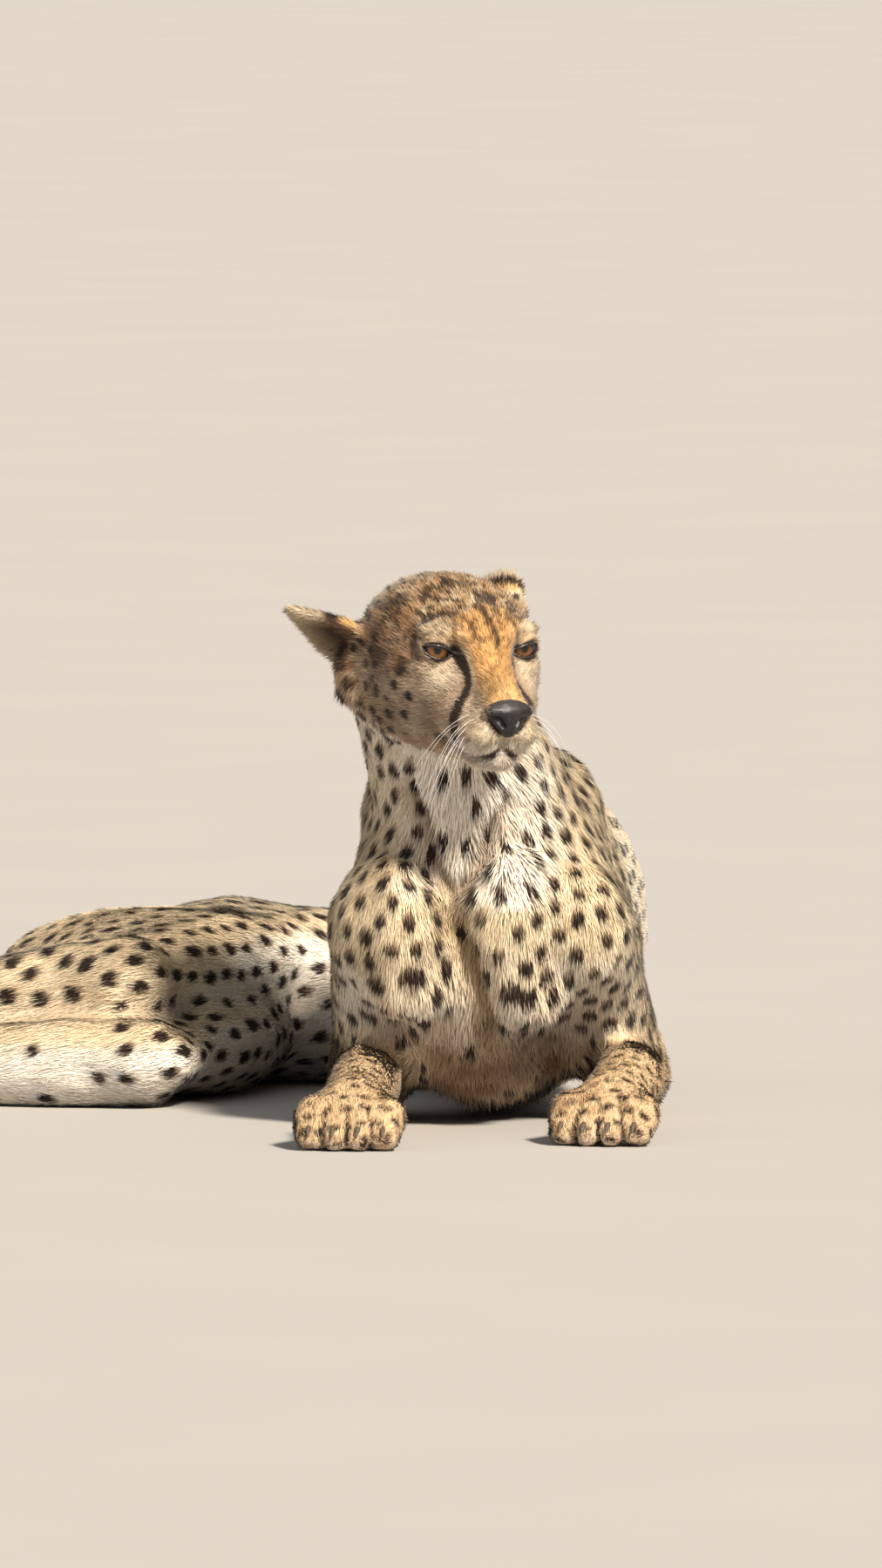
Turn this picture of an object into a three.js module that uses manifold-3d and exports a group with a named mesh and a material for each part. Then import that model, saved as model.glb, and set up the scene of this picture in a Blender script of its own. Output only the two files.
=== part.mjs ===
// A life-size model of an adult cheetah, resting: chest upright on its elbows, head turned to its left,
// the spine bent to its right and the hips rolled over, so that both hind legs lie to its right.
// Millimetres, +Z up, the chest facing -Y. The body is one flowing form, built as a distance field of
// muscles and bones, and parted with thin cuts into the pieces that a person would name.
import * as THREE from "three";
import { MarchingCubes } from "three/addons/objects/MarchingCubes.js";
import { mergeVertices } from "three/addons/utils/BufferGeometryUtils.js";
import Module from "manifold-3d";

const wasm = await Module();
wasm.setup();

// ---- driving dimensions ----
const GAP = 0.36; // the thin cut between two neighbouring pieces
const FLOOR = 0; // the level of the flats that it rests on
const EYE_RADIUS = 14.5;
const CLAW_LENGTH = 16;
const CLAW_RADIUS = 3.8;

// ---- small vector helpers ----
const V = (x, y, z) => new THREE.Vector3(x, y, z);
const clamp = (x, low, high) => Math.min(high, Math.max(low, x));
const mix = (a, b, t) => a + (b - a) * t;

// Polynomial smooth minimum: two distances flow into each other over the width k.
function blend(a, b, k) {
  const h = Math.max(k - Math.abs(a - b), 0) / k;
  return Math.min(a, b) - (h * h * k) / 4;
}

// ---- the forms that muscles are made from; each is a function that gives a distance ----

// A limb that tapers between two joints. A flat one is thinner along its side vector.
function limb(a, b, radiusA, radiusB, flat = 1, side = V(0, 0, 1)) {
  const [dx, dy, dz] = [b.x - a.x, b.y - a.y, b.z - a.z];
  const lengthSquared = dx * dx + dy * dy + dz * dz;
  const along = V(dx, dy, dz).normalize();
  const n = side.clone().addScaledVector(along, -side.dot(along)).normalize();
  const stretch = 1 / flat - 1;
  return (x, y, z) => {
    let [px, py, pz] = [x - a.x, y - a.y, z - a.z];
    const t = clamp((px * dx + py * dy + pz * dz) / lengthSquared, 0, 1);
    px -= dx * t;
    py -= dy * t;
    pz -= dz * t;
    const s = (px * n.x + py * n.y + pz * n.z) * stretch;
    const far = Math.hypot(px + n.x * s, py + n.y * s, pz + n.z * s);
    return (far - mix(radiusA, radiusB, t)) * (stretch > 0 ? flat * 0.6 + 0.4 : 1);
  };
}

// A rounded muscle: an ellipsoid with its radii along a frame of three unit vectors.
function muscle(centre, radii, frame = [V(1, 0, 0), V(0, 1, 0), V(0, 0, 1)]) {
  const [ex, ey, ez] = frame;
  return (x, y, z) => {
    const [px, py, pz] = [x - centre.x, y - centre.y, z - centre.z];
    const u = (px * ex.x + py * ex.y + pz * ex.z) / radii[0];
    const v = (px * ey.x + py * ey.y + pz * ey.z) / radii[1];
    const w = (px * ez.x + py * ez.y + pz * ez.z) / radii[2];
    const k0 = Math.hypot(u, v, w);
    const k1 = Math.hypot(u / radii[0], v / radii[1], w / radii[2]);
    return k1 < 1e-9 ? -Math.min(...radii) : (k0 * (k0 - 1)) / k1;
  };
}

// A unit frame whose first vector runs from a to b and whose third is as near up as it can be.
function along(a, b, up = V(0, 0, 1)) {
  const first = b.clone().sub(a).normalize();
  const second = up.clone().cross(first).normalize();
  return [first, second, first.clone().cross(second)];
}

// Several forms that flow into each other.
function flow(k, ...forms) {
  return (x, y, z) => forms.reduce((d, form) => blend(d, form(x, y, z), k), 1e4);
}

// ---- the trunk: oval sections along the bent and rolled spine ----
// Each station: centre, half width from side to side, half depth from back to belly, roll in degrees.
const TRUNK_STATIONS = [
  { at: V(-13, -64, 150), width: 56, depth: 76, roll: 0 }, // breast
  { at: V(-10, -35, 150), width: 76, depth: 108, roll: 0 }, // point of the shoulder
  { at: V(0, 45, 139), width: 84, depth: 130, roll: 0 }, // withers
  { at: V(16, 130, 130), width: 90, depth: 130, roll: 4 }, // ribs
  { at: V(31, 210, 117), width: 87, depth: 120, roll: 12 },
  { at: V(28, 284, 99), width: 78, depth: 103, roll: 30 }, // last ribs
  { at: V(2, 348, 76), width: 66, depth: 88, roll: 52 },
  { at: V(-48, 392, 63), width: 62, depth: 80, roll: 68 }, // waist
  { at: V(-108, 414, 62), width: 64, depth: 78, roll: 78 },
  { at: V(-176, 424, 66), width: 67, depth: 78, roll: 82 }, // hips
  { at: V(-238, 430, 63), width: 60, depth: 62, roll: 84 }, // rump
  { at: V(-286, 432, 56), width: 36, depth: 40, roll: 84 }, // root of the tail
];
const TRUNK_STEPS = 66;

function trunk() {
  const path = new THREE.CatmullRomCurve3(TRUNK_STATIONS.map((s) => s.at));
  const last = TRUNK_STATIONS.length - 1;
  const ovals = [];
  for (let i = 0; i <= TRUNK_STEPS; i++) {
    const t = i / TRUNK_STEPS;
    const index = Math.min(Math.floor(t * last), last - 1);
    const share = t * last - index;
    const [from, to] = [TRUNK_STATIONS[index], TRUNK_STATIONS[index + 1]];
    const ease = share * share * (3 - 2 * share);
    const roll = THREE.MathUtils.degToRad(mix(from.roll, to.roll, share));
    const tailward = path.getTangent(t);
    const side = tailward.clone().cross(V(0, 0, 1)).normalize();
    const back = side.clone().cross(tailward).normalize();
    // Rolling lifts the animal's right flank and turns its back away from the belly side.
    const [cos, sin] = [Math.cos(roll), Math.sin(roll)];
    const rolledSide = side.clone().multiplyScalar(cos).addScaledVector(back, -sin);
    const rolledBack = back.clone().multiplyScalar(cos).addScaledVector(side, sin);
    const width = mix(from.width, to.width, ease);
    const depth = mix(from.depth, to.depth, ease);
    const radii = [width, depth, 0.8 * Math.min(width, depth)];
    ovals.push(muscle(path.getPoint(t), radii, [rolledSide, rolledBack, tailward]));
  }
  return (x, y, z) => ovals.reduce((d, oval) => Math.min(d, oval(x, y, z)), 1e4);
}

// ---- the head, in its own frame: x to the animal's right, y forward, z up, from between the eyes ----
const HEAD_AT = V(-5.5, -168, 350.5);
const HEAD_YAW = THREE.MathUtils.degToRad(24); // turned to its left
const HEAD_PITCH = THREE.MathUtils.degToRad(9.5); // nose a little down
const headForward = V(
  Math.sin(HEAD_YAW) * Math.cos(HEAD_PITCH),
  -Math.cos(HEAD_YAW) * Math.cos(HEAD_PITCH),
  -Math.sin(HEAD_PITCH),
);
const headRight = V(-Math.cos(HEAD_YAW), -Math.sin(HEAD_YAW), 0);
const headUp = headRight.clone().cross(headForward);
const HEAD_FRAME = new THREE.Matrix4().makeBasis(headRight, headForward, headUp).setPosition(HEAD_AT);
const inHead = (x, y, z) => V(x, y, z).applyMatrix4(HEAD_FRAME);

const EYE = V(32, -2, 0); // the right eyeball's centre; the left one mirrors it

function head() {
  const pair = (form) => (x, y, z) => form(Math.abs(x), y, z);
  const skull = flow(
    15,
    muscle(V(0, -58, -2), [60, 60, 45]), // braincase
    muscle(V(0, -14, 8), [38, 36, 23]), // forehead
    muscle(V(0, -68, -36), [50, 44, 38]), // back of the jaws
    pair(muscle(V(36, -34, -24), [24, 38, 27])), // cheek arch
    pair(muscle(V(46, -85, -36), [27, 25, 30])), // ruff under the ear
    pair(muscle(V(24, 2, -36), [20, 32, 24])), // cheek, under the eye
    limb(V(0, -4, 3), V(0, 46, -24), 20, 13), // bridge of the nose
    pair(limb(V(10, 28, -62), V(35, -50, -52), 14, 24)), // lower jaw
  );
  const muzzle = flow(
    8,
    muscle(V(0, 24, -42), [25, 34, 22]),
    pair(muscle(V(14, 42, -49), [16, 18, 15])), // whisker pad
    muscle(V(0, 52, -37), [17, 13, 11]), // nose
    muscle(V(0, 41, -68), [15, 17, 11]), // chin
  );
  const brow = pair(muscle(V(29, -1, 13), [18, 10, 7.5]));
  const lid = pair(muscle(V(31, 1, -13), [17, 10, 7]));
  const socket = pair(muscle(V(34, 13, 0), [13, 9, 7]));
  return (x, y, z) => {
    let d = blend(skull(x, y, z), muzzle(x, y, z), 12);
    d = blend(d, brow(x, y, z), 9);
    d = blend(d, lid(x, y, z), 9);
    return -blend(-d, socket(x, y, z), 6);
  };
}

// An ear: a cupped leaf from its root to its tip, hollowed towards the side that it faces.
const EARS = {
  right: {
    root: inHead(55, -84, -16),
    tip: inHead(114, -78, 16),
    faces: V(-0.25, -0.5, -0.83),
    width: 31,
    point: 7,
  },
  left: {
    root: inHead(-50, -87, 1),
    tip: inHead(-64, -113, 29),
    faces: V(0.6, 0.35, -0.7),
    width: 32,
    point: 24,
  },
};

// A cupped plate: wide at its root, with `point` the radius of its rounded tip.
function ear({ root, tip, faces, width, point }) {
  const [axis, , front] = along(root, tip, faces);
  const within = (share, back, lift) =>
    root.clone().lerp(tip, share).addScaledVector(axis, -back).addScaledVector(front, lift);
  const shell = limb(root, within(1, point, 0), width, point, 0.52, front);
  const hollow = limb(within(0.08, 0, 13), within(1, point * 1.5, 9), width * 0.8, point * 0.7, 0.6, front);
  return (x, y, z) => -blend(-shell(x, y, z), hollow(x, y, z), 3);
}

// ---- joints of the skeleton ----
const JOINTS = {
  right: {
    blade: V(-46, 45, 232), shoulder: V(-70, -68, 146), elbow: V(-82, 84, 30),
    wrist: V(-88, -152, 36), knuckles: V(-94, -212, 25), toes: V(-98, -250, 11),
    hip: V(-190, 412, 88), knee: V(-262, 203, 90), hock: V(-510, 298, 42),
    sole: V(-626, 228, 19), hindToes: V(-674, 188, 10),
  },
  left: {
    blade: V(46, 45, 230), shoulder: V(64, -72, 146), elbow: V(104, 84, 30),
    wrist: V(103, -110, 40), knuckles: V(89, -168, 25), toes: V(80, -207, 11),
    hip: V(-190, 410, 46), knee: V(-246, 154, 34), hock: V(-500, 218, 20),
    sole: V(-610, 140, 18), hindToes: V(-658, 100, 10),
  },
};

function foreleg({ blade, shoulder, elbow, wrist }, out) {
  const triceps = blade.clone().lerp(elbow, 0.6);
  const upper = flow(
    24,
    limb(blade, shoulder, 34, 44, 0.8, V(1, 0, 0)),
    limb(shoulder, elbow, 42, 29),
    muscle(triceps.add(V(out * 2, 0, 0)), [34, 62, 62]),
  );
  const lower = limb(elbow, wrist, 32, 24, 0.92, V(1, 0, 0));
  return (x, y, z) => blend(upper(x, y, z), lower(x, y, z), 10);
}

// The four toes of a paw fan out from its knuckles: each has a root, a bend and a tip.
function toesOf({ knuckles, toes }, { width, toe }) {
  const forward = toes.clone().sub(knuckles).setZ(0).normalize();
  const across = V(-forward.y, forward.x, 0);
  return [-1, -1 / 3, 1 / 3, 1].map((place) => {
    const reach = 1 - 0.16 * place * place; // the outer toes are shorter
    const at = (share, spread) =>
      knuckles.clone().lerp(toes, share).addScaledVector(across, place * width * spread);
    const bend = at(0.55 * reach, 0.38).setZ(knuckles.z * 0.9);
    return { root: at(0, 0.3), bend, tip: at(reach, 0.4).setZ(toes.z), radius: toe, forward, across };
  });
}

function paw(leg, size) {
  const toes = toesOf(leg, size).flatMap(({ root, bend, tip, radius }) => [
    limb(root, bend, radius, radius),
    limb(bend, tip, radius, radius * 0.86),
  ]);
  return flow(6, limb(leg.wrist, leg.knuckles, size.palm, size.palm), ...toes);
}

const FORE_PAW = { width: 66, palm: 25, toe: 14.5 };
const HIND_PAW = { width: 56, palm: 20, toe: 13 };
const hindEnd = ({ hock, sole, hindToes }) => ({ wrist: hock, knuckles: sole, toes: hindToes });

function hindleg({ hip, knee, hock }, { thighFlat }) {
  const bone = along(hip, knee);
  const middle = hip.clone().lerp(knee, 0.45);
  const behind = V(-1, -0.2, 0).normalize(); // from the front of the thigh towards the hamstrings
  const thigh = flow(
    22,
    limb(hip, knee, 66, 40, thighFlat),
    muscle(middle.clone().addScaledVector(behind, -26), [104, 46, 40], bone),
    muscle(middle.clone().addScaledVector(behind, 44), [96, 50, 40], bone),
  );
  const calf = knee.clone().lerp(hock, 0.28);
  const shank = flow(20, limb(knee, hock, 34, 18), muscle(calf, [74, 34, 30], along(knee, hock)));
  return (x, y, z) => blend(thigh(x, y, z), shank(x, y, z), 12);
}

// ---- the tail lies in a slow bend on the floor ----
const TAIL_PATH = new THREE.CatmullRomCurve3([
  V(-270, 430, 56), V(-350, 448, 34), V(-440, 458, 23), V(-550, 446, 22),
  V(-670, 406, 22), V(-780, 333, 22), V(-846, 250, 13),
]);
const TAIL_STEPS = 26;

function tail() {
  const forms = [];
  const slender = 0.86; // from here on it tapers to its tip
  const radius = (t) =>
    t < slender ? mix(30, 24, clamp(t / 0.3, 0, 1)) : mix(24, 14, (t - slender) / (1 - slender));
  for (let i = 0; i < TAIL_STEPS; i++) {
    const [t, u] = [i / TAIL_STEPS, (i + 1) / TAIL_STEPS];
    forms.push(limb(TAIL_PATH.getPoint(t), TAIL_PATH.getPoint(u), radius(t), radius(u)));
  }
  return (x, y, z) => forms.reduce((d, form) => Math.min(d, form(x, y, z)), 1e4);
}

// ---- the whole body as one field ----
function body() {
  const inFrame = HEAD_FRAME.clone().invert();
  const headForm = head();
  const p = V(0, 0, 0);
  const turnedHead = (x, y, z) => {
    p.set(x, y, z).applyMatrix4(inFrame);
    return headForm(p.x, p.y, p.z);
  };
  const torso = flow(
    26,
    trunk(),
    limb(V(-30, -92, 330), V(2, -18, 190), 50, 82), // neck
    limb(V(-60, -66, 326), V(-16, 0, 240), 42, 60), // nape
    limb(V(-46, 30, 225), V(-10, 80, 238), 40, 34), // withers
    limb(V(44, 30, 225), V(10, 80, 238), 40, 34),
  );
  const { right, left } = JOINTS;
  // The fold of skin from the knee to the flank.
  const fold = limb(V(-232, 240, 98), V(-120, 396, 96), 24, 30);
  // The round of the upper haunch, which carries the line of the back on towards the knee, and the
  // seat behind it, which fills the corner up to the root of the tail.
  const haunch = flow(30, muscle(V(-250, 322, 91), [102, 56, 43]), muscle(V(-292, 368, 74), [64, 58, 46]));
  const fore = [foreleg(right, -1), foreleg(left, 1)];
  const hind = [hindleg(right, { thighFlat: 0.72 }), hindleg(left, { thighFlat: 0.62 })];
  const paws = [
    paw(right, FORE_PAW),
    paw(left, FORE_PAW),
    paw(hindEnd(right), HIND_PAW),
    paw(hindEnd(left), HIND_PAW),
  ];
  // The fronts of the two upper arms, with a deep cleft between them, each over a soft fold of coat.
  const armFronts = [
    flow(9, muscle(V(-61, -86, 146), [36, 43, 58]), muscle(V(-55, -86, 106), [31, 35, 27])),
    flow(9, muscle(V(17, -88, 152), [42, 43, 64]), muscle(V(27, -86, 102), [36, 35, 29])),
  ];
  const ears = [ear(EARS.right), ear(EARS.left)];
  const tailForm = tail();
  return (x, y, z) => {
    let d = torso(x, y, z);
    for (const leg of fore) d = blend(d, leg(x, y, z), 22);
    for (const front of armFronts) d = blend(d, front(x, y, z), 7);
    d = blend(d, fold(x, y, z), 22);
    d = blend(d, haunch(x, y, z), 22);
    for (const leg of hind) d = blend(d, leg(x, y, z), 16);
    for (const foot of paws) d = blend(d, foot(x, y, z), 9);
    d = blend(d, tailForm(x, y, z), 16);
    d = blend(d, turnedHead(x, y, z), 22);
    for (const form of ears) d = blend(d, form(x, y, z), 7);
    return d;
  };
}

// ---- from the field to solids ----

// The closed surface where the field is zero, inside a box, on a grid of cubes.
function surface(field, box, cell) {
  const size = box.getSize(V(0, 0, 0));
  const centre = box.getCenter(V(0, 0, 0));
  const cells = Math.ceil(Math.max(size.x, size.y, size.z) / cell) + 6;
  const cubes = new MarchingCubes(cells, new THREE.Material(), false, false, 60000);
  const least = 0.06 * cell; // keeps each crossing away from the corners of its cube
  const place = (i, c) => c + (i - cells / 2) * cell;
  const p = V(0, 0, 0);
  cubes.isolation = 0;
  for (let k = 0; k < cells; k++)
    for (let j = 0; j < cells; j++)
      for (let i = 0; i < cells; i++) {
        p.set(place(i, centre.x), place(j, centre.y), place(k, centre.z));
        const d = box.containsPoint(p) ? field(p.x, p.y, p.z) : cell;
        cubes.field[i + cells * (j + cells * k)] = d < 0 ? Math.max(-d, least) : Math.min(-d, -least);
      }
  cubes.update();
  const soup = cubes.geometry.getAttribute("position").array.slice(0, 3 * cubes.count);
  const points = new THREE.BufferGeometry().setAttribute("position", new THREE.BufferAttribute(soup, 3));
  points.scale((cells * cell) / 2, (cells * cell) / 2, (cells * cell) / 2);
  points.translate(centre.x, centre.y, centre.z);
  return mergeVertices(points, 0.02 * cell);
}

// The ten different products of a plane's four terms, in the order xx xy xz yy yz zz xd yd zd dd.
const QUADRIC = [[0, 0], [0, 1], [0, 2], [1, 1], [1, 2], [2, 2], [0, 3], [1, 3], [2, 3], [3, 3]];

// Folds up the edges that matter least to the shape until about `count` faces are left, by the
// squared distances to the faces that each vertex stands for (quadric edge collapse).
function simplify(geometry, count) {
  const points = [];
  for (let i = 0; i < geometry.attributes.position.count; i++)
    points.push(V(0, 0, 0).fromBufferAttribute(geometry.attributes.position, i));
  const faces = [];
  for (let i = 0; i < geometry.index.count; i += 3) faces.push([...geometry.index.array.slice(i, i + 3)]);
  const quadrics = points.map(() => new Float64Array(10));
  const around = points.map(() => new Set());
  const normal = (a, b, c) => b.clone().sub(a).cross(c.clone().sub(a));
  faces.forEach((face, f) => {
    const n = normal(...face.map((v) => points[v]));
    const area = n.length();
    n.divideScalar(area || 1);
    const d = -n.dot(points[face[0]]);
    const plane = [n.x, n.y, n.z, d];
    const terms = QUADRIC.map(([i, j]) => plane[i] * plane[j]);
    for (const v of face) {
      around[v].add(f);
      terms.forEach((term, i) => {
        quadrics[v][i] += term * area;
      });
    }
  });

  // The best place for the vertex that replaces a and b, and what it costs.
  const m = new THREE.Matrix3();
  function fold(a, b) {
    const q = quadrics[a].map((term, i) => term + quadrics[b][i]);
    const middle = points[a].clone().lerp(points[b], 0.5);
    const hold = 1e-3 * (q[0] + q[3] + q[5]); // a weak pull to the middle settles flat places
    m.set(q[0] + hold, q[1], q[2], q[1], q[3] + hold, q[4], q[2], q[4], q[5] + hold).invert();
    const pull = V(hold * middle.x - q[6], hold * middle.y - q[7], hold * middle.z - q[8]);
    const at = pull.applyMatrix3(m);
    const { x, y, z } = at;
    const squares = q[0] * x * x + q[3] * y * y + q[5] * z * z;
    const products = q[1] * x * y + q[2] * x * z + q[4] * y * z;
    const linear = q[6] * x + q[7] * y + q[8] * z;
    const cost = squares + 2 * (products + linear) + q[9] + hold * at.distanceToSquared(middle);
    return { a, b, at, q, cost };
  }
  const neighbours = (v) => new Set([...around[v]].flatMap((f) => faces[f]).filter((w) => w !== v));
  const staysUpright = (v, other, at) =>
    [...around[v]].every((f) => {
      if (faces[f].includes(other)) return true;
      const before = normal(...faces[f].map((w) => points[w]));
      const after = normal(...faces[f].map((w) => (w === v ? at : points[w])));
      return before.dot(after) > 0.3 * before.length() * after.length() && after.length() > 1e-3;
    });

  let left = faces.length;
  for (let pass = 0; pass < 60 && left > count; pass++) {
    const edges = [];
    for (const face of faces.filter(Boolean))
      for (let i = 0; i < 3; i++) {
        const [a, b] = [face[i], face[(i + 1) % 3]];
        if (a < b) edges.push(fold(a, b));
      }
    edges.sort((one, two) => one.cost - two.cost);
    const touched = new Set();
    for (const { a, b, at, q } of edges.slice(0, Math.ceil(edges.length / 4))) {
      if (left <= count || touched.has(a) || touched.has(b)) continue;
      const [ringA, ringB] = [neighbours(a), neighbours(b)];
      if ([...ringA].filter((v) => ringB.has(v)).length !== 2) continue;
      if (!staysUpright(a, b, at) || !staysUpright(b, a, at)) continue;
      for (const f of around[b]) {
        if (faces[f].includes(a)) {
          for (const v of faces[f]) if (v !== b) around[v].delete(f);
          faces[f] = null;
          left--;
        } else {
          faces[f] = faces[f].map((v) => (v === b ? a : v));
          around[a].add(f);
        }
      }
      around[b] = new Set();
      points[a] = at;
      quadrics[a] = q;
      for (const v of [a, b, ...ringA, ...ringB]) touched.add(v);
    }
  }
  const result = new THREE.BufferGeometry().setFromPoints(points);
  return result.setIndex(faces.filter(Boolean).flat());
}

// A closed geometry becomes a solid that can be cut, and a solid becomes a geometry again.
function solid(geometry) {
  const bare = geometry.clone();
  bare.deleteAttribute("normal");
  bare.deleteAttribute("uv");
  const { attributes, index } = mergeVertices(bare, 1e-4);
  const vertProperties = new Float32Array(attributes.position.array);
  const triVerts = new Uint32Array(index.array);
  return new wasm.Manifold(new wasm.Mesh({ numProp: 3, vertProperties, triVerts }));
}

function geometryOf(form) {
  const { vertProperties, triVerts } = form.getMesh();
  const geometry = new THREE.BufferGeometry();
  geometry.setAttribute("position", new THREE.BufferAttribute(new Float32Array(vertProperties), 3));
  geometry.setIndex([...triVerts]);
  geometry.computeVertexNormals();
  return geometry;
}

// ---- the cuts between the pieces ----
// A side is the half of space that `towards` points into, from a plane through `at`.
const side = (at, towards) => ({ at, towards: towards.clone().normalize() });
const other = ({ at, towards }) => ({ at, towards: towards.clone().negate() });

// Moving each plane back by `grow` makes the region between them that much larger.
const trim = (form, sides, grow) =>
  sides.reduce((rest, { at, towards }) => rest.trimByPlane(towards.toArray(), towards.dot(at) - grow), form);

const EVERYWHERE = solid(new THREE.BoxGeometry(3000, 3000, 3000));
const FLOOR_SIDE = side(V(0, 0, FLOOR), V(0, 0, 1));

const bisect = (a, joint, b) => joint.clone().sub(a).normalize().add(b.clone().sub(joint).normalize());
const tailAt = (t) => side(TAIL_PATH.getPoint(t), TAIL_PATH.getTangent(t));

function regions() {
  const { right, left } = JOINTS;
  const neckBase = side(V(-8, -45, 232), V(0, -0.6, 0.8));
  const headBase = side(inHead(0, -95, 20), inHead(0, 0.84, 0.545).sub(HEAD_AT));
  const earBase = ({ root, tip }, out) => {
    const outward = tip.clone().sub(root).normalize();
    return side(root.clone().addScaledVector(outward, out), outward);
  };
  const rightOfHead = side(inHead(64, 0, 0), inHead(1, 0, 0).sub(HEAD_AT));
  const leftOfHead = side(inHead(-28, 0, 0), inHead(-1, 0, 0).sub(HEAD_AT));
  const frontHalf = side(V(16, 124, 140), V(0.07, -1, 0));
  const arm = {
    right: side(V(-14, -126, 125), V(-1, -0.16, -0.28)),
    left: side(V(-12, -126, 125), V(1, -0.28, 0.22)),
  };
  const elbowDown = side(V(0, 0, 64), V(0, 0, -1));
  const lowDown = side(V(0, 0, 76), V(0, 0, -1));
  const wrist = ({ wrist: from, knuckles: to }) =>
    side(from.clone().lerp(to, 0.12), to.clone().sub(from).setZ(0));
  const behindHips = side(V(-336, 443, 48), V(-0.97, 0.2, 0));
  const besideFeet = side(V(-335, 381, 0), V(-0.318, 1, 0)); // clears both hind feet
  const knee = ({ hip, knee: at, hock }) => {
    const across = bisect(hip, at, hock).setZ(0).normalize();
    return side(at.clone().addScaledVector(across, 14), across);
  };
  const hock = ({ knee: from, hock: at, sole }) => side(at, bisect(from, at, sole).setZ(0));
  const middle = (name) => right[name].clone().lerp(left[name], 0.5);
  const rightFoot = side(middle("hock"), V(-0.578, 0.816, 0));
  const rightShank = side(middle("knee"), V(0.195, 0.803, 0.563));
  const lastRib = side(V(18, 310, 98), V(-0.38, 0.92, 0));
  const hipLine = side(V(-97, 410, 68), V(-0.95, 0.3, 0));
  const thighLine = side(V(-202, 368, 60), V(-0.42, -0.9, 0));
  const upperThigh = side(V(-220, 295, 64), V(0, 0, 1));
  const rightOf = (x) => side(V(x, 0, 0), V(-1, 0, 0));
  const leftOf = (x) => side(V(x, 0, 0), V(1, 0, 0));
  // In order: each piece takes what the pieces before it have left.
  return [
    { name: "ear_right", sides: [neckBase, earBase(EARS.right, 8), rightOfHead], cell: 3, faces: 360 },
    { name: "ear_left", sides: [neckBase, earBase(EARS.left, 12), leftOfHead], cell: 3, faces: 330 },
    { name: "head", sides: [neckBase, headBase], cell: 3.6, faces: 1800 },
    { name: "neck", sides: [neckBase], cell: 9, faces: 400 },
    { name: "forepaw_right", sides: [wrist(right), lowDown, rightOf(-20)], cell: 4.5, faces: 350 },
    { name: "forepaw_left", sides: [wrist(left), lowDown, leftOf(20)], cell: 4.5, faces: 350 },
    { name: "forearm_right", sides: [frontHalf, elbowDown, rightOf(-50)], cell: 7, faces: 240 },
    { name: "forearm_left", sides: [frontHalf, elbowDown, leftOf(66)], cell: 7, faces: 240 },
    { name: "upper_arm_right", sides: [frontHalf, arm.right, other(elbowDown)], cell: 8, faces: 420 },
    { name: "upper_arm_left", sides: [frontHalf, arm.left, other(elbowDown)], cell: 8, faces: 460 },
    { name: "chest", sides: [frontHalf], cell: 11, faces: 540 },
    { name: "tail_tip", sides: [behindHips, besideFeet, tailAt(0.73)], cell: 7, faces: 150 },
    { name: "tail_middle", sides: [behindHips, besideFeet, tailAt(0.42)], cell: 8, faces: 150 },
    { name: "tail_base", sides: [behindHips, besideFeet], cell: 8, faces: 150 },
    { name: "hind_foot_right", sides: [hock(right), rightFoot], cell: 5, faces: 310 },
    { name: "hind_foot_left", sides: [hock(left), other(rightFoot)], cell: 5, faces: 310 },
    { name: "shank_right", sides: [knee(right), rightShank], cell: 7, faces: 220 },
    { name: "shank_left", sides: [knee(left), other(rightShank)], cell: 7, faces: 220 },
    { name: "ribs", sides: [other(lastRib), leftOf(-135)], cell: 12, faces: 360 },
    { name: "loin", sides: [other(hipLine)], cell: 12, faces: 300 },
    { name: "thigh_right", sides: [thighLine, upperThigh], cell: 9, faces: 340 },
    { name: "thigh_left", sides: [thighLine, other(upperThigh)], cell: 9, faces: 300 },
    { name: "rump", sides: [], cell: 11, faces: 340 },
  ];
}

// One piece of the body: its region, less the regions before it and the pockets of what is set into it.
function carve(form, region, before, pockets) {
  let rest = trim(trim(form, region.sides, -GAP / 2), [FLOOR_SIDE], 0);
  for (const earlier of before) rest = rest.subtract(trim(EVERYWHERE, earlier.sides, GAP / 2));
  for (const pocket of pockets) rest = rest.subtract(pocket);
  return rest.decompose().sort((one, two) => two.volume() - one.volume())[0];
}

// ---- colours ----
const finish = (color, roughness) =>
  new THREE.MeshStandardMaterial({ color, roughness, metalness: 0 });
const FUR_GOLD = finish("#c9a469", 0.9);
const FUR_PALE = finish("#dccbab", 0.9);
const EYE_AMBER = finish("#7a4a1c", 0.12);
const NOSE_LEATHER = finish("#2b2523", 0.5);
const HORN = finish("#4a3c33", 0.45);

// ---- what is set into the body: eyes, nose leather, claws; each with a slightly larger pocket ----
const ball = (radius) => new THREE.SphereGeometry(radius, 14, 9);

function noseLeather(grow) {
  const form = flow(
    3,
    muscle(V(0, 59, -33), [19, 8.5, 8.5]), // the wings, over the nostrils
    muscle(V(0, 60, -41), [12, 8, 9.5]), // the pad, down to the lip
  );
  const box = new THREE.Box3(V(-28, 44, -58), V(28, 74, -18));
  const geometry = simplify(surface((x, y, z) => form(x, y, z) - grow, box, 2), 220);
  return geometry.applyMatrix4(HEAD_FRAME);
}

// A claw: a blunt cone of horn that points forward and down out of a toe.
function claw({ tip, forward }, grow) {
  const points = forward.clone().setZ(-0.35).normalize();
  const cone = new THREE.ConeGeometry(CLAW_RADIUS + grow, CLAW_LENGTH + 4 * grow, 6);
  cone.applyQuaternion(new THREE.Quaternion().setFromUnitVectors(V(0, 1, 0), points));
  const { x, y, z } = tip.clone().addScaledVector(points, 9).setZ(tip.z + 3);
  return cone.translate(x, y, z);
}

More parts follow.
